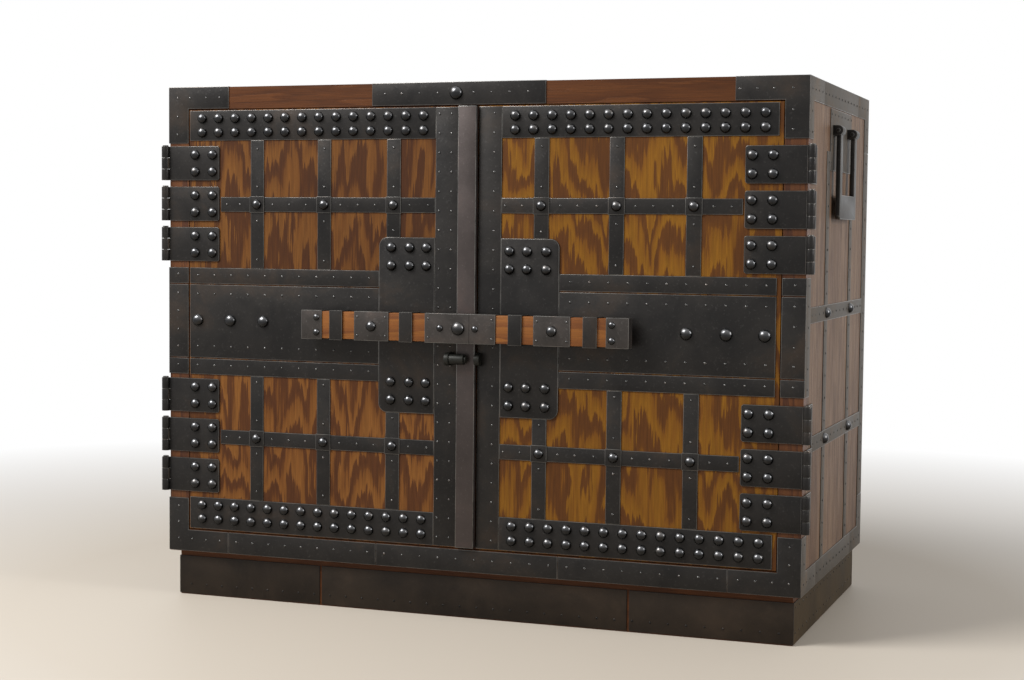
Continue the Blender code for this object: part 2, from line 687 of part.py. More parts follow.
def make_hinges():
    for side in SIDES:
        strap = hinge_strap(side)
        leaf = hinge_leaf(side)
        for number, base in enumerate(hinge_bases(side), start=1):
            for part, mesh, body in (("strap", strap, doors[side]), ("leaf", leaf, carcase)):
                name = f"{SIDE_NAMES[side]}_hinge_{part}_{number}"
                add_node(name, copies(mesh, [(0, 0, base)]), iron, body)


# Doors and their irons

def seam_edge(side):
    # The doors meet beside the meeting strip, which is on the left door.
    return SEAM + side * MEETING_GAP / 2


def make_door(side):
    name = SIDE_NAMES[side] + "_"
    body = doors[side]
    leaf = ((seam_edge(side), side * DOOR_OUTER), (0, FRONT_THICKNESS), (DOOR_BOTTOM, DOOR_TOP))
    add_node(name + "door_board", boxes(leaf), panel_wood, body)
    add_node(name + "door_straps", door_straps(side), iron, body)
    add_node(name + "middle_plate", middle_plate(side), iron, body)
    add_node(name + "lock_plate", lock_plate(side), iron, body)


def door_straps(side):
    # Stud strips, edge plate, uprights, cross straps and bands, in one sheet with its caps and studs.
    low = DOOR_BOTTOM + TRIM_INSET
    high = DOOR_TOP - TRIM_INSET
    top_strip = (high - TOP_STRIP_SHARE * DOOR_HEIGHT, high)
    base_strip = (low, low + BASE_STRIP_SHARE * DOOR_HEIGHT)
    wide = (EDGE_PLATE_INNER, TRIM_OUTER)
    half = STRAP_WIDTH / 2
    crossings = [DOOR_MIDDLE + end * CROSS_STRAP_RISE for end in (-1, 1)]
    uprights = [share * TRIM_OUTER for share in STRAP_PLACE_SHARES]
    bands = middle_levels()[::2]
    outer = LOCK_PLATE_OUTER + SEAT_GAP
    pieces = [((EDGE_PLATE_INNER, EDGE_PLATE_OUTER), (low, high)), (wide, top_strip), (wide, base_strip)]
    pieces += [((outer, TRIM_OUTER), band) for band in bands]
    cross_end = HINGE_STRAP_END - CROSS_STRAP_MARGIN
    pieces += [((EDGE_PLATE_INNER, cross_end), (z - half, z + half)) for z in crossings]
    lock = lock_levels()
    for place in uprights:
        covered = place - half < outer
        below = lock[0] - SEAT_GAP if covered else bands[0][1]
        above = lock[1] + SEAT_GAP if covered else bands[1][0]
        x = (place - half, place + half)
        pieces += [(x, (low, below)), (x, (above, high))]
    pieces = [(tuple(sorted(side * x for x in span)), z) for span, z in pieces]
    flat = strapwork(pieces, -AXES["y"] * SEAT_GAP, AXES["x"], AXES["z"])
    straps = thickened(flat, PLATE)

    cap = CAP_SIZE / 2
    cap_y = (-ON_PLATE - PLATE, -ON_PLATE + SINK)
    places = [(side * x, z) for x in uprights for z in crossings]
    caps = boxes(*[((x - cap, x + cap), cap_y, (z - cap, z + cap)) for x, z in places])
    dome = stud(STUD_DIAMETER, STUD_HEIGHT)
    row = STUD_ROW_PITCH / 2
    rows = [sum(strip) / 2 + end * row for strip in (base_strip, top_strip) for end in (-1, 1)]
    columns = spaced(STUD_FIRST, TRIM_OUTER - STUD_END_MARGIN, STUD_PITCH)
    in_rows = studs_on_front(dome, [(side * x, z) for x in columns for z in rows], ON_PLATE)
    on_caps = studs_on_front(dome, places, ON_PLATE + PLATE)
    return joined(straps, caps, gathered(in_rows, on_caps, lock_lug(side)))


def lock_levels():
    return (BAR_MIDDLE - LOCK_PLATE_HEIGHT / 2, BAR_MIDDLE + LOCK_PLATE_HEIGHT / 2)


def middle_plate(side):
    x = (side * (LOCK_PLATE_OUTER + SEAT_GAP), side * TRIM_OUTER)
    plate = boxes((x, proud(WOOD, PLATE), middle_levels()[1]))
    last = TRIM_OUTER - KNOB_INSET
    places = [(side * (last - i * KNOB_PITCH), DOOR_MIDDLE) for i in range(KNOB_COUNT)]
    knobs = studs_on_front(stud(KNOB_DIAMETER, KNOB_HEIGHT), places, ON_PLATE)
    return joined(plate, gathered(knobs, staple(side, STAPLE_OUTER_SHARE, ON_PLATE)))


def lock_plate(side):
    inner = EDGE_PLATE_OUTER + SEAT_GAP
    low, high = lock_levels()
    r = LOCK_PLATE_ROUND
    far = LOCK_PLATE_OUTER - r
    lower = arc((far, low + r), r, -90, 0, 4)
    upper = arc((far, high - r), r, 0, 90, 4)
    outline = [(inner, low), *lower, *upper, (inner, high)]
    plate = prism([mirrored(outline, side)], *proud(WOOD, HEAVY_PLATE), "xzy")
    row = LOCK_STUD_ROW_PITCH / 2
    rises = [end * LOCK_STUD_RISE + step * row for end in (-1, 1) for step in (-1, 1)]
    places_x = [LOCK_STUD_FIRST + i * STUD_PITCH for i in range(3)]
    places = [(side * x, BAR_MIDDLE + rise) for x in places_x for rise in rises]
    studs = studs_on_front(stud(STUD_DIAMETER, STUD_HEIGHT), places, ON_HEAVY_PLATE)
    return joined(plate, gathered(studs, staple(side, STAPLE_INNER_SHARE, ON_HEAVY_PLATE)))


def staple(side, share, level):
    # It goes round the bar, with its two legs in the plate.
    t = STAPLE_THICKNESS
    place = share * BAR_LENGTH
    top = BAR_TOP + SEAT_GAP
    base = BAR_BASE - SEAT_GAP
    front = BAR_FRONT - SEAT_GAP
    foot = -level + SINK
    outline = [(foot, base - t), (front - t, base - t), (front - t, top + t), (foot, top + t)]
    outline += [(foot, top), (front, top), (front, base), (foot, base)]
    x = sorted((side * (place - STAPLE_WIDTH / 2), side * (place + STAPLE_WIDTH / 2)))
    return prism([outline], *x, "yzx")


def lock_lug(side):
    # A lug with a round front for the padlock. The left one carries the cross barrel.
    middle = BAR_MIDDLE - LUG_DROP
    radius = LUG_HEIGHT / 2
    foot = -ON_PLATE + SINK
    nose = arc((-LUG_DEPTH + radius, middle), radius, 90, 270, 6)
    outline = [(foot, middle + radius), *nose, (foot, middle - radius)]
    x = sorted(side * place for place in LUG_PLACES[side])
    lug = prism([outline], *x, "yzx")
    if side == RIGHT:
        return lug
    strip_front = proud(WOOD, MEETING_STRIP_DEPTH)[0]
    barrel_y = strip_front - LOCK_BARREL_CLEARANCE - LOCK_BARREL_RADIUS
    ring = circle((barrel_y, middle), LOCK_BARREL_RADIUS, ROUND_SIDES)
    return joined(lug, prism([ring], sum(x) / 2, LOCK_BARREL_END, "yzx"))


def make_meeting_strip():
    half = MEETING_STRIP_WIDTH / 2
    chamfer = MEETING_STRIP_CHAMFER
    front, back = proud(WOOD, MEETING_STRIP_DEPTH)
    outline = [(-half, back), (-half, front + chamfer), (-half + chamfer, front)]
    outline += [(-x, y) for x, y in reversed(outline)]
    strip = prism([outline], DOOR_BOTTOM + TRIM_INSET, DOOR_TOP, "xyz")
    add_node("meeting_strip", strip, iron, doors[LEFT])


# Lock bar, divided where the doors meet

def bar_seam(side):
    # The halves of the bar part over the left door's edge, with a thinner gap than the doors have.
    return MEETING_STRIP_WIDTH / 2 + (RUNNING_GAP if side == RIGHT else 0)


def make_bar(side):
    # A chamfered wooden bar with sheet iron wrapped over it at its end, its middle and between.
    end = side * (BAR_LENGTH / 2 - ON_PLATE)
    c = BAR_CHAMFER
    outline = [(BAR_FRONT, BAR_TOP - c), (BAR_FRONT + c, BAR_TOP), (BAR_BACK - c, BAR_TOP)]
    outline += [(BAR_BACK, BAR_TOP - c), (BAR_BACK, BAR_BASE + c), (BAR_BACK - c, BAR_BASE)]
    outline += [(BAR_FRONT + c, BAR_BASE), (BAR_FRONT, BAR_BASE + c)]
    seam = bar_seam(side)
    bar = prism([outline], *sorted((seam + side * SINK, end)), "yzx")
    y = (BAR_FRONT - ON_PLATE, BAR_BACK - 2 * BAR_CHAMFER)
    z = (BAR_BASE - ON_PLATE, BAR_TOP + ON_PLATE)
    tip = side * BAR_LENGTH / 2
    near = side * (BAR_PLATE_PLACE - BAR_PLATE_LENGTH / 2)
    wraps = [(tip, tip - side * BAR_CAP_LENGTH), (near, near + side * BAR_PLATE_LENGTH)]
    wraps.append((seam, side * BAR_MIDDLE_PLATE / 2))
    bar = joined(bar, *[boxes((x, y, z)) for x in wraps])

    level = -BAR_FRONT + ON_PLATE
    cap_x = side * (BAR_LENGTH / 2 - BAR_CAP_STUD_INSET)
    places = [(cap_x, BAR_MIDDLE + step * BAR_CAP_STUD_RISE) for step in (-1, 1)]
    places.append((side * BAR_SIDE_STUDS[side], BAR_MIDDLE))
    small = studs_on_front(stud(SMALL_STUD_DIAMETER, SMALL_STUD_HEIGHT), places, level)
    dome = stud(STUD_DIAMETER, STUD_HEIGHT)
    domes = [small, studs_on_front(dome, [(side * BAR_PLATE_PLACE, BAR_MIDDLE)], level)]
    if side == LEFT:
        large = stud(BAR_STUD_DIAMETER, BAR_STUD_HEIGHT)
        domes.append(studs_on_front(large, [(BAR_MIDDLE_STUD, BAR_MIDDLE)], level))
    bar = joined(bar, gathered(*domes))
    add_node(SIDE_NAMES[side] + "_bar", bar, bar_wood, doors[side])


# Carrying handles

def arm_centres():
    offset = (BAIL_LENGTH - BAIL_ARM_WIDTH) / 2
    return [HANDLE_PLACE - offset, HANDLE_PLACE + offset]


def make_bail(side):
    half = BAIL_LENGTH / 2
    low = HANDLE_PIVOT_RISE - BAIL_DROP
    grip = low + BAIL_GRIP_HEIGHT
    inner = half - BAIL_ARM_WIDTH
    r = BAIL_CORNER
    corner = arc((half - r, low + r), r, -90, 0, 2)
    right_half = [*corner, (half, HANDLE_PIVOT_RISE), (inner, HANDLE_PIVOT_RISE), (inner, grip)]
    outline = [(HANDLE_PLACE + y, z) for y, z in right_half]
    outline += [(HANDLE_PLACE - y, z) for y, z in reversed(right_half)]
    x = side * HANDLE_X
    bail = prism([outline], x - BAIL_THICKNESS / 2, x + BAIL_THICKNESS / 2, "yzx")
    pivot = (x, HANDLE_PIVOT_RISE)
    for centre in arm_centres():
        near, far = centre - BAIL_ARM_WIDTH / 2, centre + BAIL_ARM_WIDTH / 2
        bail = joined(bail, prism([circle(pivot, HANDLE_EYE_RADIUS, ROUND_SIDES)], near, far, "xzy"))
        bore = prism([circle(pivot, HANDLE_BORE, PIN_SIDES)], near - CUT_OVERRUN, far + CUT_OVERRUN, "xzy")
        bail = combined(bail, bore, "DIFFERENCE")
    add_node(SIDE_NAMES[side] + "_handle_bail", bail, iron, bails[side])


def make_handle_plate(side):
    # A backing plate with two pairs of lugs and a riveted pin in each pair.
    z = (HANDLE_PLATE_BASE, HANDLE_PLATE_BASE + HANDLE_PLATE_HEIGHT)
    reach = (SIDE_STRAP_SPREAD - SIDE_STRAP_WIDTH) / 2 - SEAT_GAP
    plate = boxes((beside(side, PLATE), (HANDLE_PLACE - reach, HANDLE_PLACE + reach), z))
    pivot = (side * HANDLE_X, HANDLE_PIVOT_RISE)
    foot = side * (HALF_WIDTH + ON_PLATE - SINK)
    start = -90 if side == RIGHT else 90
    nose = arc(pivot, HANDLE_EYE_RADIUS, start, start + 180, 6)
    outline = [(foot, nose[-1][1]), (foot, nose[0][1]), *nose]
    near = BAIL_ARM_WIDTH / 2 + RUNNING_GAP
    far = near + HANDLE_LUG_THICKNESS
    for centre in arm_centres():
        spans = ((centre - far, centre - near), (centre + near, centre + far))
        lugs = [prism([outline], *span, "xzy") for span in spans]
        pin_end = far + PIN_HEAD_HEIGHT
        ring = circle(pivot, HANDLE_PIN_RADIUS, PIN_SIDES)
        plate = joined(plate, *lugs, prism([ring], centre - pin_end, centre + pin_end, "xzy"))
    add_node(SIDE_NAMES[side] + "_handle_plate", plate, iron, carcase)


clear_scene()
parts = bpy.data.collections.new("ship_chest")
cutters = bpy.data.collections.new("cutters")
for collection in (parts, cutters):
    bpy.context.scene.collection.children.link(collection)

iron = material("iron", (0.045, 0.040, 0.038), 0.52, 0.75)
frame_wood = material("frame_wood", (0.17, 0.06, 0.028), 0.45, 0)
side_wood = material("side_wood", (0.20, 0.11, 0.07), 0.5, 0)
panel_wood = material("panel_wood", (0.30, 0.13, 0.025), 0.4, 0)
bar_wood = material("bar_wood", (0.26, 0.10, 0.04), 0.45, 0)
inner_wood = material("inner_wood", (0.42, 0.28, 0.15), 0.6, 0)

# The carcase stands still. Each door turns on its hinge pins and each bail on its two pins.
chest = empty("chest", None, (0, CHEST_Y, CHEST_Z))
carcase = empty("carcase", chest, (0, 0, 0))
doors = {side: empty(SIDE_NAMES[side] + "_door", chest, (side * HINGE_X, HINGE_Y, 0)) for side in SIDES}
pivots = {side: (side * HANDLE_X, HANDLE_PLACE, HANDLE_PIVOT_RISE) for side in SIDES}
bails = {side: empty(SIDE_NAMES[side] + "_handle", chest, pivots[side]) for side in SIDES}

make_plinth()
make_carcase()
make_frame_irons()
make_edge_irons()
make_side_straps()
make_hinges()
make_meeting_strip()
for door_side in SIDES:
    make_door(door_side)
    make_bar(door_side)
    make_handle_plate(door_side)
    make_bail(door_side)
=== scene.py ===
import math

import bmesh
import bpy
from mathutils import Matrix, Vector


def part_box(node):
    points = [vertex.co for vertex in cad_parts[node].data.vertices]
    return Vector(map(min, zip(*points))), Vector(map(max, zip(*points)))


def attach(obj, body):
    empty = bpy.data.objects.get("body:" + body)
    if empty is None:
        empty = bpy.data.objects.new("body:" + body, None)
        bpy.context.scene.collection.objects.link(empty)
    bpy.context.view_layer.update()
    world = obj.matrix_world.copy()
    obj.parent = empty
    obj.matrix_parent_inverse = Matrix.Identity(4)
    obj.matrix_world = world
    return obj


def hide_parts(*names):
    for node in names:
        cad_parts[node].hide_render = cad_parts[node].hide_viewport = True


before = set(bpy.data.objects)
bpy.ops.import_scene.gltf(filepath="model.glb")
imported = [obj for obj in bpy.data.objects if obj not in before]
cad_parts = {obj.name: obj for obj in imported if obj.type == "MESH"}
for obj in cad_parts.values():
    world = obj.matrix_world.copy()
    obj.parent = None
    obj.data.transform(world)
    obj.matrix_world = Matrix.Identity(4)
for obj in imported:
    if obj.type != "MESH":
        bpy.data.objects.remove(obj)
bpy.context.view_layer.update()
scene = bpy.context.scene

# The frame gives the chest its planes
stileLow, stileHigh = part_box("left_stile")
boardLow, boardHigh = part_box("left_door_board")
frontY, baseZ = stileLow.y, stileLow.z
half = -stileLow.x  # from the centre line to a side
high = stileHigh.z - baseZ  # underside to top board
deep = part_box("back_board")[1].y - frontY  # front to back
doorMiddle = (boardLow.z + boardHigh.z) / 2 - baseZ
leafTop = boardHigh.z - baseZ
trim = 0.0015  # a door's irons stop this far inside its edges
doorLow, doorHigh = boardLow.z - baseZ + trim, leafTop - trim
leafBack = boardHigh.y - 0.0006  # past this the leaves show their plainer inner face
sides = {"left": -1, "right": 1}
seat = 0.0003  # iron stands this far off the wood
hair = 0.0003  # and this far from the next iron
print("frame loaded, half width %.4f, height %.4f, depth %.4f" % (half, high, deep))


# Node trees

def feed(tree, node, inputs):
    # An input takes a link from another node's socket, or a plain value.
    for name, value in inputs.items():
        socket = node.inputs[name]
        if isinstance(value, bpy.types.NodeSocket):
            tree.links.new(value, socket)
        else:
            socket.default_value = (*value, 1) if socket.type == "RGBA" else value


def addNode(tree, kind, inputs=None, **settings):
    node = tree.nodes.new(kind)
    for name, value in settings.items():
        setattr(node, name, value)
    feed(tree, node, inputs or {})
    return node


def addMapping(tree, place, scale, shift=(0, 0, 0)):
    return addNode(tree, "ShaderNodeMapping", {"Vector": place, "Scale": scale, "Location": shift}).outputs[0]


def addNoise(tree, place, detail=2.0, roughness=0.5, scale=1.0, distortion=0.0, output="Fac"):
    inputs = {"Vector": place, "Scale": scale, "Detail": detail, "Roughness": roughness,
              "Distortion": distortion}
    return addNode(tree, "ShaderNodeTexNoise", inputs).outputs[output]


def addMath(tree, operation, a, b=0):
    return addNode(tree, "ShaderNodeMath", {0: a, 1: b}, operation=operation).outputs[0]


def addVector(tree, operation, inputs):
    return addNode(tree, "ShaderNodeVectorMath", inputs, operation=operation).outputs[0]


def splitVector(tree, vector):
    return addNode(tree, "ShaderNodeSeparateXYZ", {0: vector}).outputs


def addRamp(tree, source, stops):
    ramp = addNode(tree, "ShaderNodeValToRGB", {"Fac": source})
    elements = ramp.color_ramp.elements
    while len(elements) < len(stops):
        elements.new(0.5)
    for element, (place, colour) in zip(elements, stops):
        element.position = place
        element.color = (*colour, 1)
    return ramp.outputs["Color"]


def addRange(tree, source, low, top, toLow, toHigh):
    inputs = {"Value": source, "From Min": low, "From Max": top, "To Min": toLow, "To Max": toHigh}
    return addNode(tree, "ShaderNodeMapRange", inputs).outputs["Result"]


def addMix(tree, kind, amount, a, b):
    inputs = {0: amount, 6: a, 7: b}
    return addNode(tree, "ShaderNodeMix", inputs, data_type="RGBA", blend_type=kind).outputs[2]


def addBump(tree, shader, height, strength, distance):
    bump = addNode(tree, "ShaderNodeBump", {"Height": height, "Strength": strength, "Distance": distance})
    feed(tree, shader, {"Normal": bump.outputs[0]})


def setOut(tree):
    # Each node stands in a column to the left of all the nodes that it feeds.
    columns = dict.fromkeys(tree.nodes, 0)
    for _ in tree.nodes:
        for link in tree.links:
            columns[link.from_node] = max(columns[link.from_node], columns[link.to_node] + 1)
    filled = {}
    for node, column in columns.items():
        filled[column] = filled.get(column, 0) + 1
        node.location = (-240 * column, -260 * filled[column])


def newFinish(name):
    finish = bpy.data.materials.new(name)
    finish.use_nodes = True
    tree = finish.node_tree
    return finish, tree, tree.nodes["Principled BSDF"], addNode(tree, "ShaderNodeTexCoord").outputs


# Finishes

def stretched(wood, scale, ratio):
    return [scale * (1 / ratio if axis == wood["grain"] else 1) for axis in "xyz"]


def addFibres(tree, shader, place, wood, colour, relief):
    # Fibres, pores and slow changes of tone over a wood's figure
    fibres = addNoise(tree, addMapping(tree, place, stretched(wood, wood["fibres"], 30)), 4.0, 0.65)
    lines = addRamp(tree, fibres, ((0.36, (wood["fibreShade"],) * 3), (0.62, (1, 1, 1))))
    colour = addMix(tree, "MULTIPLY", 1.0, colour, lines)
    tone = addNoise(tree, addMapping(tree, place, stretched(wood, 6, 4), (3, 1, 4)))
    tone = addRamp(tree, tone, ((0.3, wood["tone"]), (0.7, (1, 1, 1))))
    colour = addMix(tree, "MULTIPLY", wood["toneAmount"], colour, tone)
    shine = addRange(tree, fibres, 0.3, 0.7, wood["roughness"] + 0.1, wood["roughness"] - 0.04)
    feed(tree, shader, {"Base Color": colour, "Roughness": shine, "Specular IOR Level": wood["specular"]})
    addBump(tree, shader, addMath(tree, "ADD", relief, fibres), wood["relief"], 0.0006)


def woodFinish(name, wood):
    # Growth rings are the contours of a smooth field that is stretched along the grain.
    finish, tree, shader, coord = newFinish(name)
    place = coord["Object"]
    figure = addMapping(tree, place, stretched(wood, wood["figure"], wood["stretch"]), wood["shift"])
    ragged = addNoise(tree, addMapping(tree, place, stretched(wood, wood["jags"], 14)), 3.0, 0.6)
    ragged = addRange(tree, ragged, 0.3, 0.7, -wood["raggedness"], wood["raggedness"])
    field = addMath(tree, "ADD", addNoise(tree, figure, 1.5, 0.45), ragged)
    rings = addMath(tree, "FRACT", addMath(tree, "MULTIPLY", field, wood["rings"]))
    colour = addRamp(tree, rings, wood["stops"])
    addFibres(tree, shader, place, wood, colour, addMath(tree, "MULTIPLY", rings, -0.3))
    return finish


def flameFinish(name, wood):
    # Flat-sawn boards: rounded arches stacked along the grain, with tapering tongues where they meet.
    finish, tree, shader, coord = newFinish(name)
    place = coord["Object"]
    sway = addNoise(tree, addMapping(tree, place, (14, 14, 5)), output="Color")
    sway = addVector(tree, "SUBTRACT", {0: sway, 1: (0.5, 0.5, 0.5)})
    moved = addVector(tree, "ADD", {0: addVector(tree, "SCALE", {0: sway, "Scale": wood["sway"]}), 1: place})
    cells = addMapping(tree, moved, (1 / wood["archWidth"], 1.0, 1 / wood["archLength"]), wood["shift"])
    arches = addNode(tree, "ShaderNodeTexVoronoi", {"Vector": cells, "Scale": 1.0, "Randomness": 1.0})
    bow = addMath(tree, "MULTIPLY", addMath(tree, "POWER", arches.outputs["Distance"], 1.7), wood["bow"])
    across, _, along = splitVector(tree, moved)
    climb = addMath(tree, "MULTIPLY", along, 1 / wood["period"])
    climb = addMath(tree, "ADD", climb, addMath(tree, "MULTIPLY", across, wood["lean"]))
    drift = addNoise(tree, addMapping(tree, place, (5, 5, 2.2), wood["shift"]))
    jags = addNoise(tree, addMapping(tree, place, (75, 75, 13)), 1.0)
    streaks = addNoise(tree, addMapping(tree, place, (260, 260, 11)), 2.0, 0.6)
    drift, jags, streaks = (addMath(tree, "MULTIPLY", noise, wood[amount]) for noise, amount in (
        (drift, "drift"), (jags, "jags"), (streaks, "raggedness")))
    ragged = addMath(tree, "ADD", drift, addMath(tree, "ADD", streaks, jags))
    rings = addMath(tree, "FRACT", addMath(tree, "ADD", addMath(tree, "ADD", climb, bow), ragged))
    inside = addMath(tree, "GREATER_THAN", splitVector(tree, place)[1], leafBack)
    # painted light: the outer face is brightened below the given height span, standing in for light that
    # falls off towards the bottom of the door
    paintedLight = addRange(tree, along, *wood["paintedLightSpan"], wood["lowPaintedLight"], 1.0)
    outer = addMix(tree, "MULTIPLY", 1.0, addRamp(tree, rings, wood["stops"]), paintedLight)
    colour = addMix(tree, "MIX", inside, outer, addRamp(tree, rings, innerStops))
    addFibres(tree, shader, place, wood, colour, addMath(tree, "MULTIPLY", rings, -0.2))
    return finish


innerStops = (
    (0.0, (0.185, 0.1, 0.048)), (0.42, (0.165, 0.088, 0.042)), (0.47, (0.138, 0.071, 0.034)),
    (0.9, (0.13, 0.066, 0.031)), (0.95, (0.18, 0.097, 0.046)))
plainFlame = dict(
    grain="z", drift=3.2, paintedLightSpan=(0.4, 0.56), lowPaintedLight=1.0, fibres=420, fibreShade=0.74, roughness=0.42,
    specular=0.14, relief=0.25)
flames = {
    "rightDoorWood": dict(
        plainFlame, archWidth=0.044, archLength=0.2, bow=1.7, period=0.115, sway=0.032, lean=4.0, jags=1.1,
        raggedness=0.85, shift=(0.7, 0, 1.35), tone=(0.8, 0.76, 0.72), toneAmount=0.7,
        stops=((0.0, (0.23, 0.1, 0.01)), (0.24, (0.2, 0.083, 0.009)), (0.42, (0.172, 0.067, 0.009)),
               (0.47, (0.118, 0.043, 0.008)), (0.66, (0.092, 0.033, 0.008)), (0.9, (0.105, 0.038, 0.008)),
               (0.95, (0.208, 0.088, 0.009)))),
    "leftDoorWood": dict(
        plainFlame, archWidth=0.04, archLength=0.26, bow=2.0, period=0.13, sway=0.028, lean=-2.0, jags=1.0,
        raggedness=0.95, lowPaintedLight=1.32, shift=(4.3, 0, 2.2), tone=(0.76, 0.7, 0.66), toneAmount=0.8,
        stops=((0.0, (0.165, 0.068, 0.016)), (0.24, (0.142, 0.056, 0.013)), (0.42, (0.118, 0.045, 0.011)),
               (0.47, (0.08, 0.029, 0.008)), (0.66, (0.06, 0.021, 0.007)), (0.9, (0.069, 0.025, 0.008)),
               (0.95, (0.15, 0.06, 0.014))))}

plainWood = dict(
    grain="x", rings=5.0, jags=160, raggedness=0.03, fibres=600, tone=(0.75, 0.72, 0.7), toneAmount=0.7,
    roughness=0.42, specular=0.14, relief=0.35)
woods = {
    "railWood": dict(
        plainWood, figure=30.0, stretch=14.0, shift=(0, 0, 0), fibreShade=0.68, toneAmount=0.8,
        stops=((0.0, (0.114, 0.039, 0.011)), (0.6, (0.096, 0.032, 0.009)), (0.92, (0.074, 0.024, 0.007)),
               (1.0, (0.109, 0.037, 0.01)))),
    "stileWood": dict(
        plainWood, grain="z", figure=26.0, stretch=12.0, shift=(2, 0, 5), fibreShade=0.72, specular=0.2,
        stops=((0.0, (0.13, 0.048, 0.016)), (0.6, (0.1, 0.035, 0.012)), (0.92, (0.06, 0.02, 0.009)),
               (1.0, (0.124, 0.045, 0.015)))),
    "sideWood": dict(
        plainWood, grain="z", figure=26.0, stretch=22.0, shift=(0, 0, 7), raggedness=0.07, fibres=380,
        fibreShade=0.56, tone=(0.62, 0.55, 0.5), toneAmount=0.9, roughness=0.5, specular=0.16, relief=0.5,
        stops=((0.0, (0.225, 0.145, 0.09)), (0.55, (0.18, 0.108, 0.066)), (0.9, (0.105, 0.058, 0.036)),
               (1.0, (0.212, 0.135, 0.083)))),
    "barWood": dict(
        plainWood, figure=28.0, stretch=12.0, shift=(5, 0, 1), rings=4.0, jags=150, fibreShade=0.75,
        roughness=0.38, specular=0.25, relief=0.3,
        stops=((0.0, (0.265, 0.098, 0.02)), (0.6, (0.205, 0.069, 0.015)), (0.92, (0.16, 0.052, 0.012)),
               (1.0, (0.255, 0.093, 0.019)))),
    "innerWood": dict(
        plainWood, figure=26.0, stretch=20.0, shift=(1, 2, 3), jags=120, raggedness=0.05, fibres=420,
        fibreShade=0.8, tone=(0.86, 0.82, 0.78), roughness=0.62, specular=0.3, relief=0.4,
        stops=((0.0, (0.43, 0.285, 0.175)), (0.6, (0.385, 0.248, 0.15)), (0.92, (0.31, 0.19, 0.112)),
               (1.0, (0.42, 0.276, 0.168))))}
finishes = {name: woodFinish(name, wood) for name, wood in woods.items()}
finishes.update({name: flameFinish(name, wood) for name, wood in flames.items()})


def ironFinish(name, iron):
    # Lacquered sheet with brown patina in cloudy patches, small pits and rubbed spots.
    finish, tree, shader, coord = newFinish(name)
    place = coord["Object"]
    cloudScale, speckScale, dentScale = iron["scales"]
    clouds = addNoise(tree, place, 5.0, 0.62, cloudScale, 0.4)
    specks = addNoise(tree, place, 3.0, 0.6, speckScale)
    colour = addRamp(tree, clouds, ((0.36, iron["dark"]), (0.55, iron["mid"]), (0.72, iron["brown"])))
    rubbed = addRamp(tree, specks, ((0.6, (0, 0, 0)), (0.74, (1, 1, 1))))
    colour = addMix(tree, "MIX", addMath(tree, "MULTIPLY", rubbed, iron["rubbed"]), colour, iron["bright"])
    if "under" in iron:  # painted shade: round heads are darkened where they face sideways or down, and keep their full colour facing up
        upward = splitVector(tree, coord["Normal"])[2]
        paintedUnderShade = addRamp(tree, upward, ((0.0, (iron["under"],) * 3), (0.55, (1, 1, 1))))
        colour = addMix(tree, "MULTIPLY", 1.0, colour, paintedUnderShade)
    shine = addRange(tree, clouds, 0.3, 0.7, iron["roughness"] - 0.07, iron["roughness"] + 0.08)
    feed(tree, shader, {"Base Color": colour, "Roughness": shine, "Metallic": iron["metallic"],
                        "Specular IOR Level": iron["specular"]})
    dents = addNoise(tree, place, scale=dentScale)
    height = addMath(tree, "ADD", dents, addMath(tree, "MULTIPLY", specks, 0.25))
    addBump(tree, shader, height, iron["relief"], 0.0012)
    return finish


